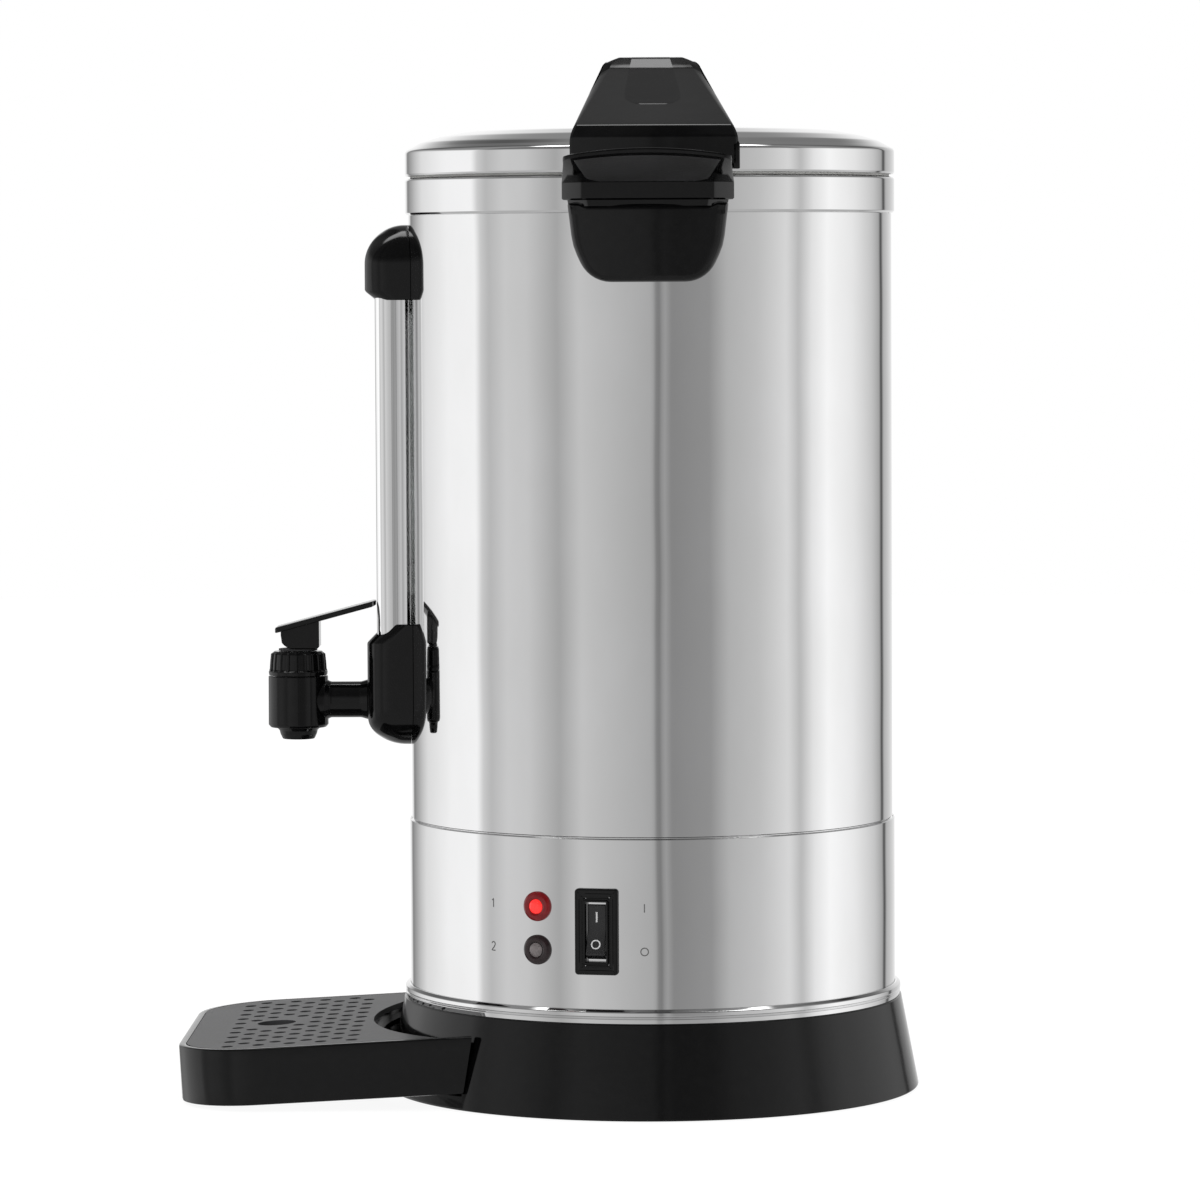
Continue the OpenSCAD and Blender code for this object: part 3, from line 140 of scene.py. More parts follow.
bearing = sky.maths("ARCTAN2", across, ahead * -1) / (2 * math.pi) + 0.5
panels = bearing.node(
    "ValToRGB", {"stops": [(b / 360 + 0.5, v) for b, v in panel_bearings]}, {0: bearing}
)
ceiling = upwards.between(0.14, 0.5)
overhead = upwards.between(0.86, 0.91) * ahead.between(0.03, 0.12)
ground = (upwards * -1).between(0.25, 0.6)
room = panels * (1.0 - ceiling * 0.72)
room = ground.mix(room, (0.5, 0.5, 0.5))
room = overhead.mix(room, (5.0, 5.0, 5.0))
mirror_ray, seen, through = (
    sky.node("LightPath", {}, {}, f"Is {kind} Ray") for kind in ("Glossy", "Camera", "Transmission")
)
mirrored = sky.node("Background", {}, {"Color": room, "Strength": 1.0})
fill = sky.node("Background", {}, {"Color": (1, 1, 1, 1), "Strength": 0.62})
white = sky.node("Background", {}, {"Color": (1, 1, 1, 1), "Strength": 1.0})
lit = sky.node("MixShader", {}, {0: mirror_ray, 1: fill, 2: mirrored})
shown = sky.node("MixShader", {}, {0: sky.maths("MAXIMUM", seen, through), 1: lit, 2: white})
output = world.node_tree.nodes.new("ShaderNodeOutputWorld")
world.node_tree.links.new(shown.out, output.inputs["Surface"])
bpy.context.scene.world = world


def softbox(name, place, target, size, power):
    """A square lamp at place that faces target. Metal doesn't mirror it: the panels do that."""
    data = bpy.data.lights.new(name, "AREA")
    data.size = size
    data.energy = power
    lamp = bpy.data.objects.new(name, data)
    lamp.matrix_world = Matrix.Translation(place) @ (
        (Vector(target) - Vector(place)).to_track_quat("-Z", "Y").to_matrix().to_4x4()
    )
    lamp.visible_glossy = False
    bpy.context.scene.collection.objects.link(lamp)


softbox("key_softbox", (-1.3, -1.8, 1.7), (0, 0, 0.25), 1.2, 26)
softbox("fill_softbox", (1.6, -1.6, 1.1), (0, 0, 0.2), 1.2, 12)
softbox("back_softbox", (0.4, 1.9, 1.6), (0, 0, 0.3), 1.2, 14)


def surface(name, *grids, caps=False, bevel=0.0, crease=30):
    """A mesh from grids of points in mm, each an array of rows by columns by 3. Neighbouring rows and
    columns are joined by quads. Where a grid's ends meet, or a row shrinks to a point, the doubled
    points are merged, and with caps an open end is closed by one flat face. Edges sharper than
    crease degrees stay sharp, or are rounded by bevel mm."""
    points, quads, start = [], [], 0
    for grid in grids:
        rows, columns = grid.shape[:2]
        index = start + np.arange(rows * columns).reshape(rows, columns)
        quads.append(np.stack([index[:-1, :-1], index[:-1, 1:], index[1:, 1:], index[1:, :-1]], -1))
        points.append(grid.reshape(-1, 3) / 1000)
        start += rows * columns
    mesh = bpy.data.meshes.new(name)
    mesh.from_pydata(np.concatenate(points), [], np.concatenate([q.reshape(-1, 4) for q in quads]))
    work = bmesh.new()
    work.from_mesh(mesh)
    bmesh.ops.remove_doubles(work, verts=work.verts, dist=2e-6)
    bmesh.ops.dissolve_degenerate(work, edges=work.edges, dist=1e-7)
    if caps:
        bmesh.ops.holes_fill(work, edges=[e for e in work.edges if e.is_boundary])
    bmesh.ops.recalc_face_normals(work, faces=work.faces)
    work.to_mesh(mesh)
    work.free()
    mesh.polygons.foreach_set("use_smooth", np.ones(len(mesh.polygons), bool))
    mesh.set_sharp_from_angle(angle=math.radians(crease))
    piece = bpy.data.objects.new(name, mesh)
    bpy.context.scene.collection.objects.link(piece)
    if bevel:
        edges = piece.modifiers.new("edges", "BEVEL")
        edges.width = bevel / 1000
        edges.segments = 3
        edges.limit_method = "ANGLE"
        edges.angle_limit = math.radians(crease)
        edges.harden_normals = True
    return piece


# Floor: the white sweep that the urn stands on. It keeps a faint shadow and isn't part of the urn.
floor_half = 4000
floor = surface(
    "floor", np.array([[(x, y, -0.05) for x in (-floor_half, floor_half)] for y in (-floor_half, floor_half)])
)
floor.visible_glossy = False
sweep = bpy.data.materials.new("white_sweep")
sweep.use_nodes = True
sweep.node_tree.nodes.clear()
paper = Wire(sweep.node_tree)
matt = paper.node("BsdfDiffuse", {}, {"Color": (0.92, 0.92, 0.92, 1)})
glow = paper.node("Emission", {}, {"Color": (1, 1, 1, 1), "Strength": 1.08})
looked_at = paper.node("LightPath", {}, {}, "Is Camera Ray")
sweep_shader = paper.node("MixShader", {}, {0: looked_at * 0.86, 1: matt, 2: glow})
sweep_output = sweep.node_tree.nodes.new("ShaderNodeOutputMaterial")
sweep.node_tree.links.new(sweep_shader.out, sweep_output.inputs["Surface"])
floor.data.materials.append(sweep)


def finish(name, fixed, varied):
    """A material: fixed holds the shader's own numbers, and varied is a function that takes the
    object coordinates and gives what changes over the surface, by socket."""
    new = bpy.data.materials.new(name)
    new.use_nodes = True
    tree = new.node_tree
    shader = tree.nodes["Principled BSDF"]
    for key, value in fixed.items():
        shader.inputs[key].default_value = value
    place = Wire(tree).node("TexCoord", {}, {}, "Object")
    for key, wire in varied(place).items():
        tree.links.new(wire.out, shader.inputs[key])
    return new


def stretched_noise(place, scale, detail=2.0, rough=0.5):
    """Noise in lumps per metre: one scale, or one for each axis."""
    scale = scale if isinstance(scale, tuple) else (scale,) * 3
    spot = place.node("Mapping", {}, {"Vector": place, "Scale": scale})
    return spot.node("TexNoise", {}, {"Vector": spot, "Scale": 1.0, "Detail": detail, "Roughness": rough})


def bump(place, height, distance):
    """A normal from a height; distance is in metres for a height of 1."""
    return place.node("Bump", {}, {"Height": height, "Distance": distance, "Strength": 1.0})


def polished_steel(place):
    """Mirror polish with faint rolling lines round the sheet, soft smears and slow waves."""
    lines = stretched_noise(place, (3, 3, 900), 3)
    smears = stretched_noise(place, (18, 18, 9), 4, 0.6)
    waves = stretched_noise(place, (9, 9, 14), 1)
    return {
        "Base Color": smears.between(0.3, 0.75).mix((0.80, 0.80, 0.80), (0.84, 0.84, 0.845)),
        "Roughness": 0.02 + lines * 0.02 + smears.between(0.45, 0.8) * 0.04,
        "Normal": bump(place, waves, 0.0006),
    }


steel = finish("polished_steel", {"Metallic": 1.0}, polished_steel)


def joined(*parts):
    """The parts side by side on a new last axis, each stretched to the shape of the others."""
    return np.stack(np.broadcast_arrays(*parts), -1)


def rounded(corners, closed=True):
    """An outline of straight stretches joined by arcs. A corner is (x, y, radius); its arc spans the
    angle that the outline turns by. A point just before and after each arc keeps the stretches flat."""
    spots = [np.array(c[:2], float) for c in corners]
    points = []
    for i, corner in enumerate(corners):
        here, radius = spots[i], corner[2]
        before, after = spots[i - 1], spots[(i + 1) % len(spots)]
        if radius == 0 or (not closed and i in (0, len(corners) - 1)):
            points.append(here)
            continue
        back = (before - here) / np.linalg.norm(before - here)
        on = (after - here) / np.linalg.norm(after - here)
        half = math.acos(np.clip(back @ on, -1, 1)) / 2
        reach = radius / math.tan(half)
        middle = here + (back + on) / np.linalg.norm(back + on) * radius / math.sin(half)
        sweep_angle = math.pi - 2 * half
        steps = max(2, int(round(math.degrees(sweep_angle) / 9)))
        first = here + back * reach - middle
        last = here + on * reach - middle
        side = np.array([-first[1], first[0]]) * np.sign(first[0] * last[1] - first[1] * last[0])
        hold = min(0.25 * radius, 0.6)
        points.append(here + back * (reach + hold))
        for t in np.linspace(0, sweep_angle, steps + 1):
            points.append(middle + first * math.cos(t) + side * math.sin(t))
        points.append(here + on * (reach + hold))
    return np.array(points)


def turned(outline, steps=240, centre=(0.0, 0.0), start=0.0, stop=2 * np.pi):
    """A closed outline of (radius, height) pairs carried round the upright axis through centre, from
    the angle start to stop: x = cx + r cos a, y = cy + r sin a, z = height."""
    ring = np.vstack([outline, outline[:1]])
    angle = np.linspace(start, stop, steps + 1)
    x = centre[0] + np.outer(ring[:, 0], np.cos(angle))
    y = centre[1] + np.outer(ring[:, 0], np.sin(angle))
    return joined(x, y, ring[:, 1:])


def place_piece(piece, body, slot, look, *nodes):
    """The piece rides on its body, takes its finish and stands for the nodes."""
    piece.data.materials.append(look)
    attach(piece, body)
    if nodes:
        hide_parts(*nodes)


# Tank: a drawn tube of thin polished stainless steel with a welded-in floor above the heater.
# Its foot slips inside the lower band, where a line of sealant shows as a dark seam.
tank_r = 112
tank_in_r = 111
seam_z = 126
floor_z = 130
tank_top_z = 406
tank_outline = rounded([
    (0, floor_z, 0), (tank_in_r, floor_z, 0.3), (tank_in_r, seam_z - 8, 0), (tank_r, seam_z - 8, 0),
    (tank_r, seam_z - 0.4, 0), (tank_r - 0.7, seam_z - 0.1, 0), (tank_r - 0.7, seam_z + 0.5, 0),
    (tank_r, seam_z + 0.9, 0.2), (tank_r, tank_top_z, 0.2), (tank_in_r, tank_top_z, 0.2),
    (tank_in_r, floor_z + 1, 1.5), (0, floor_z + 1, 0),
])
tank = surface("tank", turned(tank_outline))
place_piece(tank, "urn", "polished_steel", steel, "tank_shell")

# Rim collar: a rolled steel ring pushed into the mouth of the tank. It stands out a little from the
# wall, with a shadow line below it, and its rolled top carries the lid.
collar_r = 113.4
collar_top_z = 422.7
collar_outline = rounded([
    (109.9, tank_top_z - 8, 0.2), (110.9, tank_top_z - 8, 0.2), (110.9, tank_top_z + 0.1, 0),
    (collar_r - 0.9, tank_top_z + 0.1, 0.3), (collar_r, tank_top_z + 1.1, 0.6),
    (collar_r, collar_top_z, 1.4), (collar_r - 5.3, collar_top_z, 0.8),
    (collar_r - 5.3, collar_top_z - 3, 0), (collar_r - 4.3, collar_top_z - 3, 0),
    (collar_r - 4.3, collar_top_z - 1, 0), (collar_r - 1, collar_top_z - 2, 0),
    (collar_r - 1, tank_top_z + 1.1, 0), (109.9, tank_top_z + 1.1, 0),
])
collar = surface("rim_collar_ring", turned(collar_outline))
place_piece(collar, "urn", "polished_steel", steel, "rim_collar")

# Lower band: the steel sleeve round the heater space. It stands on the base's deck, and the
# switch, the lamps and the power inlet sit in its wall. The inlet's window is cut through the back.
band_r = 113
band_in_r = 112.1
deck_z = 42
sill_z, lintel_z = 68.1, 87.9
window_half_w = 13.7
window_turn = math.asin(window_half_w / band_r)
window_sides = (math.pi / 2 - window_turn, math.pi / 2 + window_turn)
below_window = np.array([(band_in_r, deck_z), (band_r, deck_z), (band_r, sill_z), (band_in_r, sill_z)])
above_window = rounded([
    (band_in_r, lintel_z, 0), (band_r, lintel_z, 0), (band_r, seam_z, 0.45), (band_in_r, seam_z, 0.3),
])
whole_wall = np.vstack([below_window[:3], above_window[1:], above_window[:1], below_window[3:]])


def window_jamb(angle):
    """The cut edge of the band at one side of the window: x = r cos a, y = r sin a, for both radii."""
    r, z = np.meshgrid([band_in_r, band_r], [sill_z, lintel_z])
    return joined(r * math.cos(angle), r * math.sin(angle), z)


band = surface(
    "heater_band",
    turned(whole_wall, start=window_sides[1], stop=window_sides[0] + 2 * math.pi),
    turned(below_window, 14, (0.0, 0.0), *window_sides),
    turned(above_window, 14, (0.0, 0.0), *window_sides),
    *[window_jamb(angle) for angle in window_sides],
)
place_piece(band, "urn", "polished_steel", steel, "lower_band")

# Trim ring: a bright bead between the band and the base, with a fine groove in its foot.
base_top_z = 43
trim_r = 115.6
trim_outline = rounded([
    (band_r + 0.1, base_top_z, 0), (trim_r - 0.5, base_top_z, 0.3), (trim_r - 0.2, base_top_z + 2.2, 0.4),
    (trim_r - 1.0, base_top_z + 2.9, 0.2), (trim_r, base_top_z + 3.5, 0.4),
    (trim_r - 0.1, base_top_z + 5.3, 0.8), (band_r + 0.9, base_top_z + 6.5, 0.4),
    (band_r + 0.1, base_top_z + 6.5, 0),
])
trim = surface("trim_bead", turned(trim_outline))
place_piece(trim, "urn", "polished_steel", steel, "trim_ring")


def black_gloss_paint(place):
    """Glossy moulded black: a faint flow grain, a soft orange peel and a little dust."""
    grain = stretched_noise(place, 260, 3, 0.6)
    dust = stretched_noise(place, 1500, 2, 0.7)
    peel = stretched_noise(place, 120, 2)
    return {
        "Base Color": grain.between(0.3, 0.8).mix((0.0012, 0.0012, 0.0013), (0.0024, 0.0024, 0.0025)),
        "Roughness": 0.08 + grain * 0.06 + dust.between(0.62, 0.8) * 0.10,
        "Normal": bump(place, peel, 0.00004),
    }


black_gloss = finish("black_gloss", {"IOR": 1.38}, black_gloss_paint)

# Base: a flared ring moulded in glossy black plastic, with a deck that carries the band. A small
# ledge on its tap side carries the inner edge of the drip tray.
base_r = 124
base_top_r = 115.9
base_gap = 0.5
base_outline = rounded([
    (base_r - 2.5, base_gap, 0.4), (base_r, base_gap, 0.8), (base_top_r, base_top_z, 0.5),
    (band_r + 0.1, base_top_z, 0.3), (band_r + 0.1, deck_z, 0), (base_top_r - 20, deck_z, 0.5),
    (base_top_r - 20, deck_z - 2.5, 0.5), (base_top_r - 2.5, deck_z - 2.5, 1.5),
])
tray_slope = math.radians(3.07)
tray_pivot = np.array([-213.5, 0, 1.5])
ledge_ends = (-base_r - 11, -base_r + 1.5)
ledge_tops = [tray_pivot[2] + (x - tray_pivot[0]) * math.tan(tray_slope) - 0.3 for x in ledge_ends]
ledge_box = np.array([
    [(x, y, z) for (y, z) in ((-22, base_gap), (22, base_gap), (22, top), (-22, top), (-22, base_gap))]
    for x, top in zip(ledge_ends, ledge_tops)
])
base = surface("base_ring", turned(base_outline), ledge_box, caps=True)
place_piece(base, "urn", "black_gloss", black_gloss, "base_moulding")


# Side handles: one black moulding each, held by two screws from inside the tank. A curved shield
# lies on the wall below a rounded neck, and a finger grip rises outwards from the neck to a lip.
shield_z = 375
shield_top_z = 410.2
neck_z = 411.6
neck_top_z = 419.2
lip_z = 433.0


def evenly(path, count):
    """The same path with count points at even spacing along it."""
    length = np.concatenate([[0], np.cumsum(np.linalg.norm(np.diff(path, axis=0), axis=1))])
    spots = np.linspace(0, length[-1], count)
    return np.stack([np.interp(spots, length, path[:, k]) for k in (0, 1)], -1)


def offset_rows(outline, profile):
    """Rows of a closed outline. Each (inset, rise) pair of the profile gives one row: the outline moved
    in along its own normals by inset. Returns the plan points and the rise of each row."""
    forward = np.roll(outline, -1, 0) - outline
    forward /= np.linalg.norm(forward, axis=1)[:, None]
    normal = joined(forward[:, 1], -forward[:, 0])
    before = np.roll(normal, 1, 0)
    mitre = (normal + before) / (1 + (normal * before).sum(1))[:, None]
    profile = np.array(profile, float)
    plan = outline[None] - profile[:, 0, None, None] * mitre[None]
    plan = np.concatenate([plan, plan[:, :1]], 1)
    return plan, np.repeat(profile[:, 1:], plan.shape[1], 1)


def shield():
    """The shield: its front outline, drawn in and raised by a rounded rim, then bent round the tank,
    so that y = -sqrt((tank_r + rise)^2 - x^2)."""
    outline = rounded([
        (-35.9, shield_top_z, 0.8), (-33.6, 391, 28), (-26, shield_z, 15),
        (26, shield_z, 15), (33.6, 391, 28), (35.9, shield_top_z, 0.8),
    ])
    outline = evenly(np.vstack([outline, outline[:1]]), 221)[:-1]
    rim = [(0, 0.1), (0, 5.2), (0.25, 6.6), (0.9, 7.9), (1.9, 8.7), (3.2, 9.0), (5, 9.0)]
    plan, rise = offset_rows(outline, rim)
    middle = np.array([0, shield_z + 20])
    shares = np.array([0.8, 0.6, 0.4, 0.2, 0.0])[:, None, None]
    plan = np.concatenate([plan, middle + (plan[-1] - middle) * shares])
    rise = np.concatenate([rise, np.repeat(rise[-1:], len(shares), 0)])
    y = -np.sqrt((tank_r + rise) ** 2 - plan[..., 0] ** 2)
    return joined(plan[..., 0], y, plan[..., 1])


def hugging_plan(half_w, front, corner, back_r, front_steps, back_steps):
    """A closed plan of (across, out) points that hugs a round wall: out along the left side, round the
    corner, across the front, round the other corner and back, then along the wall's arc of back_r. A
    corner is (width, depth, power): power 1 makes it a quarter ellipse and power 2 a straight cut.
    Returns the plan, where its sides start and the count of points before the arc."""
    in_x, in_y, power = corner
    start = -math.sqrt(back_r**2 - half_w**2)
    turn = np.linspace(0, np.pi / 2, 13)
    side = joined(-half_w, np.linspace(start, -front + in_y, 7)[:6])
    bend = joined(-half_w + in_x * (1 - np.cos(turn) ** power), -front + in_y * (1 - np.sin(turn) ** power))
    front_x = np.linspace(-half_w + in_x, half_w - in_x, front_steps)[1:-1]
    face = joined(front_x, -front)
    mirror = np.array([-1, 1])
    outer = np.concatenate([side, bend, face, bend[::-1] * mirror, side[::-1] * mirror])
    back_x = np.linspace(half_w, -half_w, back_steps)[1:-1]
    arc = joined(back_x, -np.sqrt(back_r**2 - back_x**2))
    return np.concatenate([outer, arc, outer[:1]]), start, len(outer)


def grip_row(half_w, front_y, corner, out_z, arch, back_r, back_z):
    """One closed row round the handle. Height goes from back_z at the back to out_z at the front, plus
    an arch over the width."""
    row, start_y, before_arc = hugging_plan(half_w, front_y, corner, back_r, 31, 33)
    away = np.clip((start_y - row[:, 1]) / (start_y + front_y), 0, 1)
    away[before_arc:-1] = 0
    z = back_z + (out_z - back_z) * away + arch * (1 - (row[:, 0] / half_w) ** 2) * away
    return np.column_stack([row, z])


def side_handle_grids():
    """The neck and the grip are rows that go up the neck, out under the grip, round the lip and back
    along the top to the wall that faces the lid."""
    collar_gap_r = collar_r + 0.15
    well_r = 119.2
    cut = (9.0, 11.4, 1.85)
    neck = (38.4, 119.0, cut)
    lip = (3.5, 3.5, 1)
    rows = (
        (35.4, 119.3, cut, shield_top_z - 1.5, 0, collar_gap_r - 1.1, shield_top_z - 1.5),
        (35.9, 119.4, cut, neck_z - 0.2, 0, collar_gap_r, neck_z - 0.2),
        (neck[0] - 0.6, neck[1] - 0.4, neck[2], neck_z, 0, collar_gap_r, neck_z),
        (*neck, neck_z + 0.6, 0, collar_gap_r, neck_z + 0.6),
        (*neck, neck_top_z - 0.4, 0, collar_gap_r, neck_top_z - 0.4),
        (neck[0], neck[1] + 0.1, neck[2], neck_top_z, 0, collar_gap_r, neck_top_z),
        (36.9, 149.0, lip, lip_z - 4.6, 2.9, collar_gap_r, neck_top_z + 1.5),
        (37.1, 149.8, lip, lip_z - 4.2, 2.9, collar_gap_r, neck_top_z + 2),
        (37.1, 150.0, lip, lip_z - 3.2, 3.2, collar_gap_r, neck_top_z + 4),
        (36.9, 149.7, lip, lip_z - 2.6, 3.3, collar_gap_r, collar_top_z + 2.2),
        (36.4, 149.2, lip, lip_z - 2.4, 3.3, well_r, collar_top_z + 2.2),
        (35.6, 147.5, lip, lip_z - 2.6, 3.2, well_r, lip_z - 2.5),
        (33.0, 140.0, lip, lip_z - 4.6, 2.0, well_r + 1, lip_z - 3.5),
    )
    return np.array([grip_row(*row) for row in rows])


def grip_pad():
    """The pad under the grip: x goes across a width that grows from 27 to 33 mm half width, with round
    inner corners, and z follows the ruled underside from the neck to the lip, 0.3 mm below it."""
    t = np.concatenate([[0, 0], np.linspace(0, 1, 16), [1, 1]])
    across = np.linspace(-1, 1, 31)
    corner = np.sqrt(1 - np.clip(1 - t * 6, 0, 1) ** 2)
    half = 27.3 + 5.8 * t - 4.5 * (1 - corner)
    x = np.outer(half, across)
    y = -(120.8 + 26.2 * t)[:, None] + 0 * x
    along = (y + 119.1) / -29.9
    share = x / (29.4 + 4 * along)
    z = neck_top_z + along * (lip_z - 4.6 + 2.9 * (1 - (share * 33.4 / 36.9) ** 2) - neck_top_z)
    sunk = np.full_like(x, 0.3)
    sunk[[0, -1]] = -0.2
    sunk[:, [0, -1]] = -0.2
    return joined(x, y, z - sunk)


def grained(first, second, rough, spread, grain, shade, span, depth):
    """A grained look: a slow shade moves the colour from the first to the second over its span, and a
    fine grain adds up to spread to the roughness and dents the surface by depth metres."""
    def paint(place):
        """What changes over the surface, by socket."""
        fine = stretched_noise(place, *grain)
        slow = stretched_noise(place, *shade)
        return {
            "Base Color": slow.between(*span).mix(first, second),
            "Roughness": rough + fine * spread,
            "Normal": bump(place, fine, depth),
        }
    return paint


satin_black = finish("satin_black", {}, grained(
    (0.022, 0.022, 0.022), (0.030, 0.030, 0.031), 0.38, 0.15, (1100, 2, 0.6), (40, 2), (0.3, 0.7), 0.00012
))

for name, turn, node in (
    ("front_side_handle", 0, "front_handle"), ("rear_side_handle", 180, "rear_handle")
):
    spin = np.array(Matrix.Rotation(math.radians(turn), 3, "Z"))
    grids = [shield() @ spin.T, side_handle_grids() @ spin.T]
    handle = surface(name, *grids, caps=True, bevel=0.35)
    place_piece(handle, "urn", "black_gloss", black_gloss, node)
    pad = surface(name + "_pad", grip_pad() @ spin.T)
    place_piece(pad, "urn", "black_satin", satin_black)


# Sight gauge: a glass tube up the tap side of the tank, behind a bent steel guard with a viewing
# slot. The guard stands in the tap housing and its head is held under a black cap.
gauge_x = -132
guard_x = -126.5


def at_height(plan, z):
    """Plan points (x, y) at one height."""
    return joined(plan[:, 0], plan[:, 1], z)


def gauge_row(front_x, half_w, corner, z):
    """One closed row of a gauge moulding at height z: flat sides, round front corners and a back that
    follows the tank's wall 0.15 mm away from it."""
    corner = min(corner, half_w - 0.02)
    plan = hugging_plan(half_w, -front_x, (corner, corner, 1), tank_r + 0.15, 7, 21)[0]
    return at_height(plan[:, ::-1], z)


def cap_grid():
    """The cap: a scooped foot, an upright face, then a quarter round that closes over the glass. The
    plan's half width follows a half circle and its front a quarter circle up to the top."""
    cap_z, cap_top_z, half_w, shoulder = 367, 401.7, 20, 18
    rows = [
        gauge_row(-118, 14, 8, cap_z + 0.6),
        gauge_row(gauge_x + 5.6, 19.6, 10.5, cap_z),
        gauge_row(gauge_x + 4.7, 19.9, 11, cap_z + 0.3),
        gauge_row(gauge_x + 0.6, half_w, 11, cap_z + 3.7),
        gauge_row(gauge_x, half_w, 11, cap_z + 4.6),
    ]
    for t in np.linspace(0, 1, 22):
        z = cap_top_z - shoulder + (shoulder - 0.02) * math.sin(t * math.pi / 2)
        width = math.sqrt(max(half_w**2 - max(z - cap_top_z + half_w, 0) ** 2, 0.01))
        front = gauge_x + shoulder - math.sqrt(max(shoulder**2 - (z - cap_top_z + shoulder) ** 2, 0.0))
        rows.append(gauge_row(front, width, 11, z))
    return np.array(rows)


def housing_grid():
    """The tap housing: a round belly at the foot, an upright face and a slanted brow. The foot's half
    width follows a half circle and its front a quarter ellipse."""
    foot_z, top_z, half_w, belly_w, belly_h = 160, 217, 20, 18, 13
    rows = []
    for t in np.linspace(0, 1, 22):
        rise = half_w * (1 - math.cos(t * math.pi / 2)) + 0.05 * (1 - t)
        width = math.sqrt(max(half_w**2 - (half_w - rise) ** 2, 0.01))
        reach = min(rise / belly_h, 1)
        front = gauge_x + belly_w - belly_w * math.sqrt(max(1 - (1 - reach) ** 2, 0))
        rows.append(gauge_row(min(front, -112.9), width, 11, foot_z + rise))
    rows += [
        gauge_row(gauge_x, half_w, 11, top_z - 9.3),
        gauge_row(gauge_x + 0.25, half_w, 11, top_z - 8.6),
        gauge_row(gauge_x + 8.2, half_w, 11, top_z - 0.5),
        gauge_row(gauge_x + 9, half_w - 0.3, 10.5, top_z),
    ]
    return np.array(rows)


gauge_cap = surface("gauge_head", cap_grid(), caps=True, bevel=0.3)
place_piece(gauge_cap, "urn", "black_gloss", black_gloss, "gauge_cap")
housing = surface("tap_mount", housing_grid(), caps=True, bevel=0.35)
place_piece(housing, "urn", "black_gloss", black_gloss, "tap_housing")


def quarter_corner(front_x, half_w, corner, steps):
    """Plan points of a quarter circle that turns from the left side into the front."""
    turn = np.linspace(0, np.pi / 2, steps)
    return joined(front_x + corner - corner * np.sin(turn), -half_w + corner - corner * np.cos(turn))


def guard_sheet():
    """The guard's outer face: a plan path carried up the Z axis. The path is straight, bends round a
    front corner, crosses the front and comes back. The columns beside the slot draw together at its
    ends, so that the slot is round there."""
    half_w, corner, slot_half, bottom, top = 17.5, 6, 5.5, 207, 375
    slot_low, slot_high = 223, 361
    bend = quarter_corner(guard_x, half_w, corner, 10)
    leg = np.array([(-113.0, -half_w), (guard_x + corner + 0.6, -half_w)])
    flat = np.array([(guard_x, -half_w + corner + 0.6)])
    left = np.concatenate([leg, bend, flat])
    heights = [bottom, bottom + 8, slot_low - 0.01]
    heights += list(slot_low + slot_half - slot_half * np.cos(np.linspace(0, np.pi / 2, 9)))
    heights += list(slot_high - slot_half + slot_half * np.sin(np.linspace(0, np.pi / 2, 9)))
    heights += [slot_high + 0.01, top - 4, top]
    z = np.array(heights)
    low_part = np.clip((slot_low + slot_half - z) / slot_half, 0, 1)
    high_part = np.clip((z - slot_high + slot_half) / slot_half, 0, 1)
    slot = slot_half * np.sqrt(np.clip(1 - np.maximum(low_part, high_part) ** 2, 0, 1))
    grids = []
    for side in (1, -1):
        x = np.column_stack([np.repeat(left[None, :, 0], len(z), 0), np.full(len(z), float(guard_x))])
        y = np.column_stack([np.repeat(left[None, :, 1], len(z), 0), -slot]) * side
        grids.append(joined(x, y, z[:, None]))
    return grids


guard = surface("gauge_shield", *guard_sheet())
sheet = guard.modifiers.new("sheet", "SOLIDIFY")
sheet.thickness = 0.0008
sheet.offset = 1.0


def bright_steel(place):
    """The guard's sheet: a lighter polish with fine lines down its length."""
    lines = stretched_noise(place, (900, 900, 4), 3)
    smears = stretched_noise(place, (30, 30, 9), 3, 0.6)
    return {
        "Base Color": smears.between(0.3, 0.75).mix((0.93, 0.93, 0.93), (0.96, 0.96, 0.965)),
        "Roughness": 0.03 + lines * 0.04,
        "Normal": bump(place, smears, 0.00008),
    }


guard_steel = finish("bright_steel", {"Metallic": 1.0}, bright_steel)
place_piece(guard, "urn", "polished_steel", guard_steel, "gauge_guard")


# Tap: a black moulded valve body on a short spout. The spout's shank passes through the housing and
# the tank's wall to a nut inside, and the nozzle points down over the tray.
valve_x = -164.8
spout_z = 181
valve_z = 168.3
valve_top_z = 192.3
shank_end_x = -96


def along_x(outline):
    """A closed outline of (distance from the axis, x) pairs carried round the spout's level axis."""
    ring = turned(outline, 96)
    return joined(ring[..., 2], ring[..., 0], spout_z + ring[..., 1])


valve_outline = rounded([
    (5, valve_z - 5.5, 0.3), (7.4, valve_z - 5.5, 0.5), (8.5, valve_z - 3.2, 1.5), (8.9, valve_z - 1.6, 0.5),
    (10.2, valve_z - 0.2, 0.5), (13.0, valve_z, 0.6), (14.0, valve_z + 1.2, 0.8), (13.9, valve_top_z, 0.5),
    (10.5, valve_top_z, 0.3), (10.5, valve_z + 3, 0.6), (5, valve_z + 3, 0.4),
])
spout_outline = rounded([
    (4.5, valve_x + 9, 0), (10.4, valve_x + 9, 0), (10.0, valve_x + 12.5, 1.5), (8.4, valve_x + 15.2, 2.5),
    (8.4, gauge_x - 3.5, 3), (9.4, gauge_x - 0.1, 0.3), (8.0, gauge_x + 0.4, 0), (8.0, shank_end_x, 0.6),
    (4.5, shank_end_x, 0.3),
])
tap = surface("tap_valve", turned(valve_outline, 128, (valve_x, 0)), along_x(spout_outline))
place_piece(tap, "urn", "black_gloss", black_gloss, "tap_body")

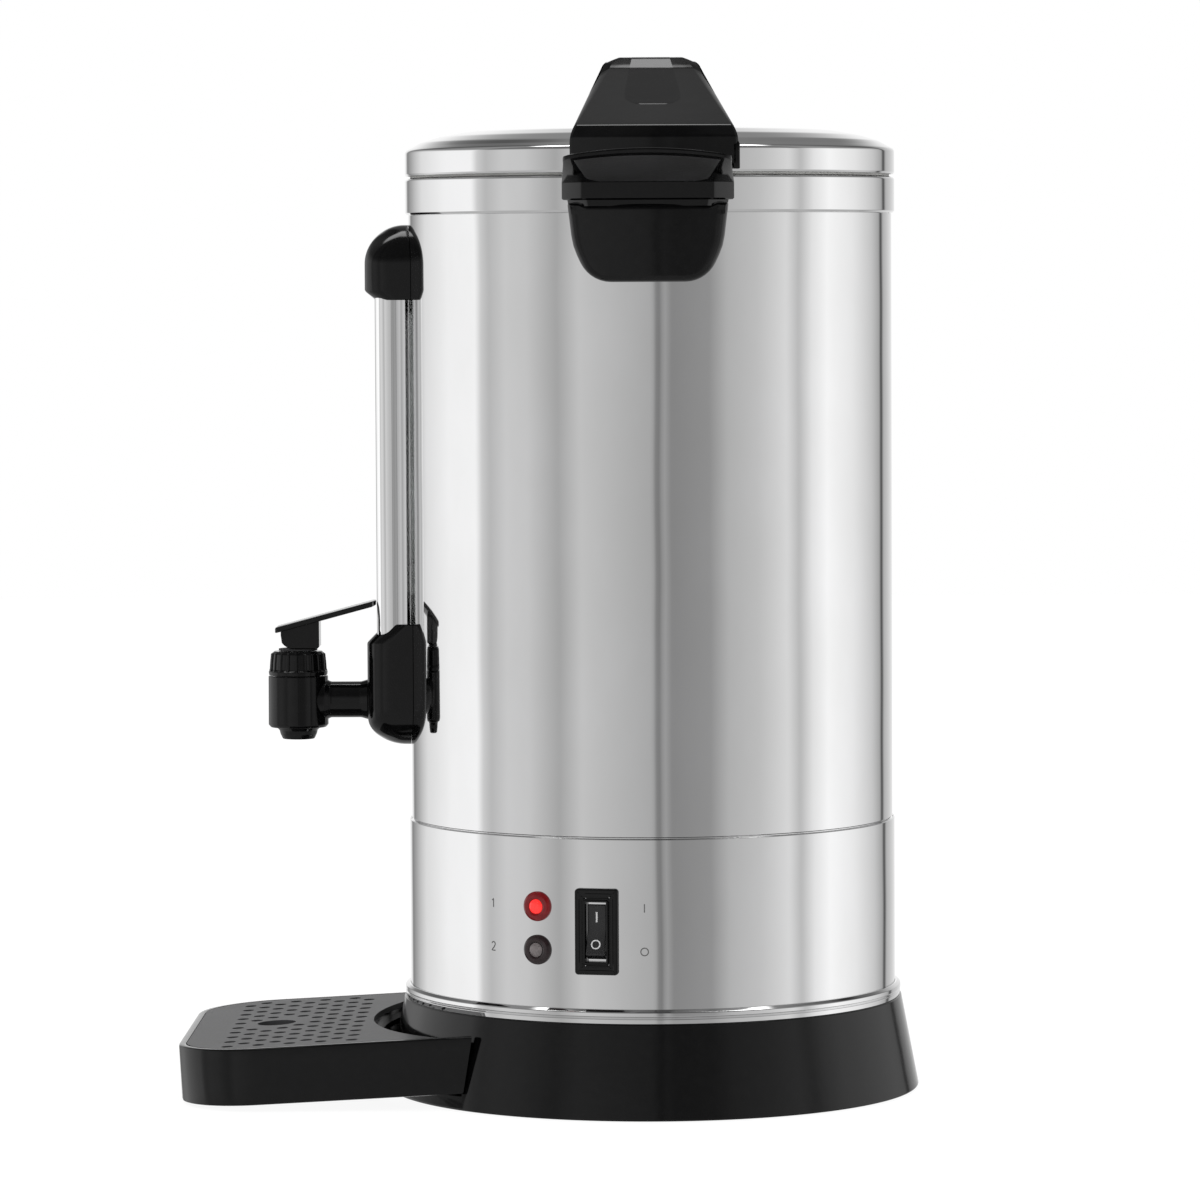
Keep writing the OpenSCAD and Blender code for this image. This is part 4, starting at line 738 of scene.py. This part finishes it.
# Bonnet: the screw cap on the valve body, with grip ribs round it above a thin lip.
bonnet_z = 193.4
bonnet_top_z = 203.8
rib_count = 20


def bonnet_grid():
    """A turned outline whose ribbed part stands out by a rib profile: the radius gets 0.6 mm more
    where cos(20 a) is high, faded out at the lip and at the top edge."""
    outline = rounded([
        (2.65, bonnet_z - 7, 0), (10.4, bonnet_z - 7, 0.3), (10.4, bonnet_z - 0.8, 0), (13.6, bonnet_z - 0.8, 0.3),
        (13.8, bonnet_z + 0.9, 0.4), (12.7, bonnet_z + 1.9, 0.3), (12.5, bonnet_z + 5, 0.1),
        (12.1, bonnet_top_z - 1.4, 0.2), (11.2, bonnet_top_z, 0.8), (2.65, bonnet_top_z, 0.2),
    ])
    grid = turned(outline, 320, (valve_x, 0))
    angle = np.linspace(0, 2 * np.pi, 321)
    rib = np.clip((np.cos(angle * rib_count) - 0.35) * 2.5, 0, 1)
    radius, height = np.vstack([outline, outline[:1]]).T
    ribbed = (radius > 11) & (height > bonnet_z + 1.6) & (height < bonnet_top_z - 0.9)
    out = 1 + np.outer(ribbed * 0.6 / np.maximum(radius, 1), rib)
    grid[..., 0] = valve_x + (grid[..., 0] - valve_x) * out
    grid[..., 1] *= out
    return grid


bonnet = surface("tap_bonnet", bonnet_grid())
place_piece(bonnet, "urn", "black_gloss", black_gloss, "bonnet")

# Lever: a sloping finger plate on a cam block. The block straddles the stem and is pinned to it, so
# that tipping the lever lifts the stem off its seat.
pin_z = 210.6
cam_rise = 5.4
cam_rate = 2.0
tip_max = math.radians(55)
lever_slope = math.radians(15)
lever_len = 36.6


def carried_across(side, half_w):
    """A closed side outline of (along, height) pairs as two rows, at -half_w and half_w across."""
    along, height = np.vstack([side, side[:1]]).T
    return joined(along, [[-half_w], [half_w]], height)


def lever_block():
    """The block's side outline: the cam, whose reach below the pin grows by 2 mm for each radian, then
    up the back, along the slope under the plate and down the front. Carried across the width."""
    a = np.linspace(0, tip_max, 14)
    reach = cam_rise + cam_rate * a
    cam = joined(-reach * np.sin(a) - cam_rate * np.cos(a), -reach * np.cos(a) + cam_rate * np.sin(a))
    back_x, front_x = -7.6, 10.3
    back_top, front_top = (4.8 + x * math.tan(lever_slope) for x in (back_x, front_x))
    rest = np.array([
        (back_x, 0.9), (back_x, back_top), (front_x, front_top), (front_x, -cam_rise + 0.8), (9.5, -cam_rise),
    ])
    return carried_across(np.concatenate([cam, rest]), 7.5) + (valve_x, 0, pin_z)


def lever_plate():
    """The plate's plan outline, round at the long end and with small corners at the short end, raised
    along the slope: the lower face, a rounded edge and the upper face."""
    turn = np.linspace(-0.262, 0.262, 17)
    tip = joined(lever_len * np.cos(turn), lever_len * np.sin(turn))
    short_end = rounded([(0, 9.5, 0), (-10.2, 9.5, 2), (-10.2, -9.5, 2), (0, -9.5, 0)], closed=False)
    outline = np.concatenate([tip, short_end])
    plan, rise = offset_rows(outline, [(0.5, 0), (0.12, 0.12), (0, 0.5), (0, 2.05), (0.12, 2.45), (0.5, 2.58)])
    z = pin_z + 4.6 + rise + plan[..., 0] * math.tan(lever_slope)
    return joined(valve_x + plan[..., 0], plan[..., 1], z)


lever = surface("tap_lever", lever_block(), lever_plate(), caps=True, bevel=0.3)
place_piece(lever, "lever", "black_gloss", black_gloss, "lever")


# Switch and lamps: bought-in pieces pushed through the band. Each is drawn facing -Y with its
# middle at the origin, then turned round the urn's axis to its place.
switch_bearing = math.radians(-12.4)
switch_z = 84.4
lamp_bearing = math.radians(-26.9)
boil_z, warm_z = 94.9, 75.3
upper_mark_z, lower_mark_z = 95.1, 75.5


def on_band(grid, bearing_angle, z):
    """Moves a grid drawn about the origin out to the band, turned round the urn's axis."""
    shifted = grid + np.array([0, -band_r, z])
    return shifted @ np.array(Matrix.Rotation(bearing_angle, 3, "Z")).T


def facing(plan, depth):
    """Plan points become x and z, and the rise becomes the distance out of the band along -Y."""
    return joined(plan[..., 0], -depth, plan[..., 1])


def rectangle(half_w, half_h, corner):
    """A rectangle about the origin with round corners."""
    return rounded([
        (-half_w, -half_h, corner), (half_w, -half_h, corner), (half_w, half_h, corner), (-half_w, half_h, corner),
    ])


frame_face = facing(*offset_rows(rectangle(9.9, 19.4, 1.6), [
    (6.0, -3.0), (0.0, -3.0), (0, 1.5), (0.2, 2.0), (0.7, 2.2), (2.0, 2.2), (2.25, 2.0), (3.0, 1.9), (3.6, 1.9),
]))
raised_edge = facing(*offset_rows(rectangle(5.9, 14.6, 1.3), [
    (-0.5, 1.85), (0, 1.9), (0, 3.0), (0.15, 3.3), (0.45, 3.4), (0.8, 3.4), (1.05, 3.25), (1.15, 2.9),
    (1.15, -6.0),
]))
frame_floor = facing(*offset_rows(rectangle(6.6, 15.9, 1.4), [(0, 1.9), (0.6, 1.9)]))
switch_frame = surface(
    "switch_frame", *[on_band(grid, switch_bearing, switch_z) for grid in (frame_face, frame_floor, raised_edge)]
)
place_piece(switch_frame, "urn", "black_gloss", black_gloss, "switch_housing")

# Rocker: a see-saw of two flats that meet in a shallow V over its pivot, 4 mm behind the band's
# surface. It leans with its upper end pressed in. A bar and a ring are printed on its two flats.
rocker_lean = math.radians(9.3)
rocker_r = 13.0
rocker_half_w = 4.3
pivot_depth = 4.0
flat_out = 4.6 * math.cos(rocker_lean)
flat_end = math.sqrt(rocker_r**2 - flat_out**2)
valley_z = flat_out * math.tan(rocker_lean)


def rocker_outline():
    """Side outline as (out, up) from the pivot: the upper flat is out = flat_out, the lower one is the
    same flat mirrored and turned by twice the lean. Both end in an arc of rocker_r about the pivot."""
    start = math.atan2(flat_end, flat_out)
    arc = np.linspace(start, start + 0.55, 8)
    upper = joined(rocker_r * np.cos(arc), rocker_r * np.sin(arc))
    turn = 2 * rocker_lean
    spin = np.array([[math.cos(turn), -math.sin(turn)], [math.sin(turn), math.cos(turn)]])
    valley = np.array([[flat_out, valley_z]])
    lower = (upper * (1, -1)) @ spin.T
    return np.concatenate([upper[::-1], valley, lower, [[2.0, 0.0]]])


rocker_grid = carried_across(rocker_outline() * (-1, 1) + (pivot_depth, 0), rocker_half_w)[..., [1, 0, 2]]
rocker = surface("rocker_button", on_band(rocker_grid, switch_bearing, switch_z), caps=True, bevel=0.45)
rocker_black = finish("rocker_black", {}, grained(
    (0.010, 0.010, 0.0105), (0.014, 0.014, 0.0145), 0.22, 0.1, (900, 2), (90, 2), (0.3, 0.7), 0.00003
))
place_piece(rocker, "rocker", "black_gloss", rocker_black, "switch_rocker")


def stroke(points, width, thick):
    """A flat line of ink along a path of (x, z) points: rows on both sides of the path, raised by thick."""
    path = np.array(points, float)
    along = np.gradient(path, axis=0)
    if np.allclose(path[0], path[-1]):
        along[0] = along[-1] = path[1] - path[-2]
    along /= np.linalg.norm(along, axis=1)[:, None]
    side_way = joined(-along[:, 1], along[:, 0]) * width / 2
    rows = []
    for side_sign, rise in ((-1, 0.0), (-1, thick), (1, thick), (1, 0.0), (-1, 0.0)):
        spot = path + side_way * side_sign
        rows.append(joined(spot[:, 0], -rise, spot[:, 1]))
    return np.array(rows)


def ring_path(radius):
    """A circle of the given radius about the origin."""
    angle = np.linspace(0, 2 * np.pi, 41)
    return joined(radius * np.cos(angle), radius * np.sin(angle))


def dimmed(colour, share):
    """The same colour at a share of its brightness."""
    return tuple(c * share for c in colour)


def ink(shade):
    """Printed ink: a flat shade with slight unevenness."""
    def paint(place):
        """One noise changes both the shade and the roughness."""
        speck = stretched_noise(place, 700, 2)
        return {
            "Base Color": speck.between(0.3, 0.8).mix((shade,) * 3, dimmed((shade,) * 3, 0.8)),
            "Roughness": 0.45 + speck * 0.15,
        }
    return paint


white_ink = finish("white_ink", {}, ink(0.55))
grey_ink = finish("grey_ink", {}, ink(0.10))
mark_out = 6.6
flat_y = pivot_depth - flat_out
bar_mark = stroke(joined(0, np.linspace(-2.3, 2.3, 9)), 0.8, 0.03)
bar_mark += (0, flat_y - 0.02, mark_out)
ring_mark = stroke(ring_path(1.9), 0.55, 0.03) + (0, -0.02, 0)
tilt = np.array(Matrix.Rotation(-2 * rocker_lean, 3, "X"))
ring_mark = ring_mark @ tilt.T + (
    0, flat_y - mark_out * math.sin(2 * rocker_lean), valley_z - mark_out * math.cos(2 * rocker_lean)
)
rocker_marks = surface(
    "rocker_marks", *[on_band(mark, switch_bearing, switch_z) for mark in (bar_mark, ring_mark)], caps=True
)
place_piece(rocker_marks, "rocker", "white_plastic", white_ink)

# Marks on the band: a bar and a ring beside the switch, and the numbers 1 and 2 beside the lamps, in
# thin dark print that follows the steel.
hook = np.linspace(2.9, -0.5, 12)
two = np.concatenate([
    joined(0.95 * np.cos(hook), 1.0 + 0.95 * np.sin(hook)),
    [(0.3, -0.4), (-0.5, -1.25), (-1.0, -1.9), (-0.4, -1.95), (0.3, -1.95), (1.05, -1.95)],
])
one = np.array([(-0.7, 1.2), (-0.3, 1.55), (0.1, 1.95), (0.1, 1.4), (0.1, 0.5), (0.1, -0.7), (0.1, -1.95)])
bar = joined(0, np.linspace(-1.9, 1.9, 9))
band_marks = surface("band_marks", *[
    on_band(stroke(path, 0.5, 0.04) + (0, -0.01, 0), math.radians(degrees), z)
    for path, degrees, z in (
        (bar, -1.5, upper_mark_z), (ring_path(1.7), -1.5, lower_mark_z),
        (one, -39.2, upper_mark_z), (two, -39.2, lower_mark_z),
    )
], caps=True)
place_piece(band_marks, "urn", "black_matte", grey_ink)

# Lamps: a screw-in lens each, a domed middle inside a ring. The upper one is lit red, the lower one
# is dark with a grey middle.


def lamp_part(outline):
    """An outline of (radius, height out of the band) carried round the lamp's own axis, which points
    along -Y: x = r cos a, z = r sin a, y = -height."""
    ring = turned(rounded(outline), 96)
    return joined(ring[..., 0], -ring[..., 2], ring[..., 1])


lamp_ring = [
    (3.3, -4, 0), (6.75, -4, 0), (6.75, 1.0, 0.9), (5.6, 1.9, 0.8), (4.4, 2.2, 0.6), (3.5, 1.9, 0.3),
    (3.3, 1.5, 0),
]
lamp_lens = [(0, -3, 0), (3.25, -3, 0), (3.25, 2.0, 0.5), (2.2, 2.75, 2.0), (0.6, 3.1, 2.0), (0, 3.12, 0)]


def lens_look(colour, glow, rough=0.07):
    """Moulded lens: a deep colour with a fine pattern, and its own light where it is lit."""
    def paint(place):
        """One pattern changes the colour, the roughness and the light."""
        pattern = stretched_noise(place, 420, 2)
        wires = {
            "Base Color": pattern.between(0.35, 0.7).mix(colour, dimmed(colour, 0.7)),
            "Roughness": rough + pattern * 0.08,
        }
        if glow:
            wires["Emission Color"] = pattern.between(0.2, 0.8).mix(glow, dimmed(glow, 0.8))
        return wires
    return paint


lit_ring = finish("lit_ring", {"Emission Strength": 1.0}, lens_look((0.10, 0.003, 0.004), (0.06, 0.001, 0.002)))
lit_lens = finish("lit_lens", {"Emission Strength": 1.0}, lens_look((0.5, 0.01, 0.01), (0.85, 0.035, 0.03)))
dark_ring = finish("dark_ring", {}, lens_look((0.018, 0.010, 0.011), None))
dark_lens = finish("dark_lens", {}, lens_look((0.16, 0.14, 0.14), None, 0.3))
for lamp, lamp_slot, lamp_z, ring_look, middle_look in (
    ("boil_lamp", "lamp_lit", boil_z, lit_ring, lit_lens),
    ("warm_lamp", "lamp_dark", warm_z, dark_ring, dark_lens),
):
    for part_name, outline, look in (("_ring", lamp_ring, ring_look), ("_lens", lamp_lens, middle_look)):
        piece = surface(lamp + part_name, on_band(lamp_part(outline), lamp_bearing, lamp_z))
        place_piece(piece, "urn", lamp_slot, look, lamp)


# Lid: a spun steel dome over a pan, turned by 1.4 degrees on the collar. The black arch is the
# handle that is screwed to it from below, and a panel is let into the arch's top.
lid_turn = np.array(Matrix.Rotation(math.radians(1.4), 3, "Z"))
lid_z = 424.0
skirt_top_z = 437.0
dome_z = skirt_top_z + 9.4
lid_outline = rounded([
    (112.4, lid_z, 0.3), (112.9, lid_z, 0.2), (collar_r, lid_z + 1.0, 0.6), (collar_r, skirt_top_z - 1.6, 2.2),
    (109.6, skirt_top_z + 0.4, 2.5), (106.2, skirt_top_z + 2.3, 6), (97.8, skirt_top_z + 4.9, 20),
    (84.4, skirt_top_z + 7.3, 40), (40, dome_z - 0.6, 100), (0, dome_z, 0), (0, dome_z - 1, 0),
    (40, dome_z - 1.6, 0), (84.2, skirt_top_z + 6.3, 0), (97.4, skirt_top_z + 3.9, 0),
    (105.8, skirt_top_z + 1.3, 0), (112.4, skirt_top_z - 2.6, 0),
])
lid = surface("lid_shell", turned(lid_outline) @ lid_turn.T)
place_piece(lid, "lid", "polished_steel", steel, "lid_dome")


# The arch's end view as (half width, height) pairs, and the front half of its side view as
# (y, height) pairs, up to the first point past the middle. The rear half mirrors it.
arch_end = rounded([(37.4, 427.0, 0), (37.5, 439.8, 14), (21.9, 473.4, 3), (17.5, 477.4, 0)], closed=False)


def arch_half_width(z):
    """Half width of the arch's end view at height z: upright near the lid, then closing in."""
    return np.interp(z, arch_end[:, 1], arch_end[:, 0])


arch_top_z = 477.35
arch_side = rounded([
    (-118.3, 427.4, 0), (-118.3, 439.6, 1.2), (-115.5, 444.6, 1.2), (-56, 471.6, 1.5), (-48.6, 476.8, 2),
    (-38, arch_top_z, 20), (38, arch_top_z, 0),
], closed=False)
arch_under = rounded([
    (-112.4, 427.4, 0), (-112.4, 434.5, 2), (-104, 440.6, 3), (-80, 444.2, 1.5), (-50, 464.5, 6),
    (-44, 465.4, 6), (44, 465.4, 0),
], closed=False)


def arch_grid():
    """Rows go from the front foot over the top to the rear foot, which mirrors it. A row joins a point
    of the side view's upper line to one of its lower line; across the arch x = +-half_width(z), and
    the two upper edges are cut by a bevel that grows from 1.2 mm at the feet to 3.8 mm at the top."""
    half_count = 150
    outer_half = evenly(arch_side[arch_side[:, 0] <= 0.01], half_count)
    under_half = evenly(arch_under[arch_under[:, 0] <= 0.01], half_count)
    outer = np.concatenate([outer_half, outer_half[::-1] * (-1, 1)])
    under = np.concatenate([under_half, under_half[::-1] * (-1, 1)])
    bevel = 1.2 + 2.6 * np.clip((outer[:, 1] - 446) / 24, 0, 1)
    rows = []
    for level in np.linspace(0, 1, 7)[:-1]:
        spot = under + (outer - under) * level
        rows.append(joined(arch_half_width(spot[:, 1]), *spot.T))
    thick = np.linalg.norm(outer - under, axis=1)
    for turn in np.linspace(0, np.pi / 2, 6):
        level = 1 - bevel * (1 - np.sin(turn) ** 1.7) * 0.8 / thick
        spot = under + (outer - under) * level[:, None]
        rows.append(joined(arch_half_width(spot[:, 1]) - bevel * (1 - np.cos(turn) ** 1.7), *spot.T))
    half = np.array(rows)
    other = half[::-1] * (-1, 1, 1)
    return np.concatenate([half, other, half[:1]]).transpose(1, 0, 2)


def stop_tab():
    """The stop tab on the arch's right foot: a small block whose outline is carried up from its foot."""
    plan = rounded([(34.9, -118.3, 0.5), (38.1, -118.3, 0.8), (38.1, -107.5, 0.5), (34.9, -107.5, 0.5)])
    flat, rise = offset_rows(plan, [(0.3, 425.0), (0, 425.4), (0, 436.0), (0.6, 437.2), (1.3, 437.4)])
    return joined(flat[..., 0], flat[..., 1], rise)


arch = surface("lid_arch", arch_grid() @ lid_turn.T, stop_tab() @ lid_turn.T, caps=True, crease=40)
place_piece(arch, "lid", "black_gloss", black_gloss, "lid_handle")


def inlay_grid():
    """The panel let into the arch: it follows the arch's upper line between two heights of the slopes.
    Its half width is 12.6 mm low on the slopes and 8.5 mm on the top, and closes in a round end. The
    middle stands 0.04 mm proud and the rim sinks below the surface."""
    start_z = 453.9
    front = arch_side[(arch_side[:, 0] <= 0.01) & (arch_side[:, 1] > 440)]
    first = [[np.interp(start_z, front[:, 1], front[:, 0]), start_z]]
    front = front[front[:, 1] > start_z]
    half_path = evenly(np.vstack([first, front, [[0, arch_top_z]]]), 80)
    path = np.concatenate([half_path, half_path[::-1][1:] * (-1, 1)])
    gone = np.linalg.norm(np.diff(path, axis=0, prepend=path[:1]), axis=1).cumsum()
    from_end = np.minimum(gone, gone[-1] - gone)
    half = np.interp(path[:, 1], [454, 460, 471, 477.4], [12.6, 12.6, 10.2, 8.5])
    half = half * np.sqrt(1 - np.clip(1 - from_end / 9.5, 0, 1) ** 2) + 0.02
    along = np.gradient(path, axis=0)
    along /= np.linalg.norm(along, axis=1)[:, None]
    normal = joined(-along[:, 1], along[:, 0])
    across = np.concatenate([[-1.0, -0.985], np.linspace(-0.95, 0.95, 15), [0.985, 1.0]])
    rise = np.where(np.abs(across) > 0.99, -0.4, 0.04)
    fade = np.clip(from_end / 0.8, 0, 1)
    lift = rise[None] * fade[:, None] - 0.4 * (1 - fade[:, None])
    x = half[:, None] * across[None]
    y = path[:, 0, None] + normal[:, 0, None] * lift
    z = path[:, 1, None] + normal[:, 1, None] * lift
    return joined(x, y, z)


inlay = surface("arch_panel", inlay_grid() @ lid_turn.T, crease=50)
place_piece(inlay, "lid", "black_gloss", black_gloss, "lid_inlay")


# Drip tray: a loose black moulded tray against the base's tap side. It leans by 3 degrees because its
# inner edge lies on the base's ledge, and it carries the perforated grid inside its rim.
tray_half_w = 89.5
tray_reach = 216.0
tray_inner_r = 131.5
wall_t = 2.5


def leaning(grid):
    """Turns a grid from the tray's own frame by the slope about the outer foot edge."""
    dx = grid[..., 0] - tray_pivot[0]
    x = tray_pivot[0] + dx * math.cos(tray_slope) - grid[..., 2] * math.sin(tray_slope)
    z = tray_pivot[2] + dx * math.sin(tray_slope) + grid[..., 2] * math.cos(tray_slope)
    return joined(x, grid[..., 1], z)


def tray_path(inset):
    """The tray's plan outline as an open U, moved in by inset: straight, corner, front, corner, straight."""
    w, reach, corner = tray_half_w - inset, tray_reach - inset, 37.0 - inset
    leg = joined(np.linspace(-80, -reach + corner, 20)[:-1], -w)
    left = np.concatenate([leg, quarter_corner(-reach, w, corner, 19)])
    return np.concatenate([left, left[::-1] * (1, -1)])


def tray_wall():
    """The wall's closed section of (inset, height) pairs carried along the U. Each row ends 0.6 mm
    before the base's cone, x = -sqrt((r(z) + 0.6)^2 - y^2)."""
    section = [
        (0.9, 0.0), (0.2, 0.25), (0.0, 0.9), (0.0, 24.9), (0.25, 25.5), (0.8, 25.8), (2.8, 25.8), (3.25, 25.6),
        (3.4, 25.2), (3.4, 23.3), (5.4, 23.3), (5.4, 20.9), (2.5, 20.6), (2.5, 2.5), (2.5, 0.0), (0.9, 0.0),
    ]
    rows = []
    for inset, height in section:
        path = tray_path(inset)
        w = tray_half_w - inset
        cone_r = base_r - (height + 5 - base_gap) * (base_r - base_top_r) / (base_top_z - base_gap) + 0.6
        limit = -math.sqrt(cone_r**2 - w**2)
        path[:, 0] = np.minimum(path[:, 0], limit)
        rows.append(at_height(path, height))
    return leaning(np.array(rows))


def tray_floor():
    """The floor: a ruled slab between the U and the arc of tray_inner_r, as thick as the wall."""
    outer = tray_path(wall_t)
    reach = math.asin((tray_half_w - wall_t) / tray_inner_r)
    angle = np.linspace(-reach, reach, len(outer))
    inner = joined(-tray_inner_r * np.cos(angle), tray_inner_r * np.sin(angle))
    outer[:, 0] = np.minimum(outer[:, 0], inner[0, 0])
    section = ((inner, 0.0), (outer, 0.0), (outer, wall_t), (inner, wall_t), (inner, 0.0))
    return leaning(np.array([at_height(edge, height) for edge, height in section]))


def tray_inner_wall():
    """The wall along the base and the flat apron below its top: a section of (radius, height) pairs
    carried round the urn's axis between the two side walls."""
    section = np.array([
        (tray_inner_r, 0.0), (tray_inner_r, 23.3), (129.0, 23.3), (129.0, 20.2), (125.0, 20.2), (125.0, 17.7),
        (129.0, 17.7), (129.0, 0.0), (tray_inner_r, 0.0),
    ])
    rows = []
    for radius, height in section:
        reach = math.asin((tray_half_w - wall_t) / radius)
        angle = np.linspace(-reach, reach, 61)
        rows.append(joined(-radius * np.cos(angle), radius * np.sin(angle), height))
    return leaning(np.array(rows))


pads = [
    turned(rounded([(0, 0, 0), (7, 0, 0.4), (7, 1.6, 0), (0, 1.6, 0)]), 48, (-200.0, y)) for y in (-45, 45)
]
tray = surface("drip_tray", tray_wall(), tray_floor(), tray_inner_wall(), *pads, caps=True)
place_piece(tray, "tray", "black_gloss", black_gloss, "tray_body")


# CAD pieces that stay as they are get a finish by the record's own material slots.
def worn_metal(colour, rough):
    """Plain machine-made metal: fine turning lines and faint stains."""
    return grained(colour, dimmed(colour, 0.8), rough, 0.15, (400, 3, 0.6), (60, 4, 0.6), (0.4, 0.75), 0.00003)


def moulded(colour, rough, grain_scale=600, depth=0.00004):
    """Moulded plastic, rubber or silicone: a fine grain and a slow change of shade."""
    return grained(colour, dimmed(colour, 0.82), rough, 0.12, (grain_scale, 3, 0.6), (35, 2), (0.35, 0.7), depth)


metals = {
    "satin_steel": ((0.62, 0.62, 0.61), 0.28), "zinc_steel": ((0.55, 0.56, 0.58), 0.32),
    "aluminium": ((0.66, 0.66, 0.67), 0.38), "element_steel": ((0.20, 0.19, 0.18), 0.45),
    "brass": ((0.62, 0.47, 0.20), 0.28),
}
mouldings = {
    "black_satin": ((0.045, 0.045, 0.047), 0.36, 900), "black_matte": ((0.020, 0.020, 0.021), 0.55, 700, 0.0001),
    "rubber": ((0.022, 0.022, 0.022), 0.68, 900, 0.0001), "silicone": ((0.62, 0.62, 0.60), 0.42),
    "white_plastic": ((0.78, 0.77, 0.72), 0.35), "wire_red": ((0.40, 0.03, 0.02), 0.42),
    "lamp_lit": ((0.55, 0.01, 0.01), 0.12), "lamp_dark": ((0.05, 0.03, 0.03), 0.15),
}
clear = {"Transmission Weight": 1.0, "IOR": 1.47, "Roughness": 0.02}
slot_finish = {
    "polished_steel": steel,
    "black_gloss": black_gloss,
    "gauge_glass": finish("gauge_glass", clear, moulded((0.95, 0.97, 0.96), 0.02, 80, 0.00002)),
}
slot_finish.update({name: finish(name, {"Metallic": 1.0}, worn_metal(*look)) for name, look in metals.items()})
slot_finish.update({name: finish(name, {}, moulded(*look)) for name, look in mouldings.items()})
for part in frame["record"]["subparts"]:
    node = frame["nodes"][part["node"]]
    node.data.materials.clear()
    node.data.materials.append(slot_finish[part["material_slot"]])
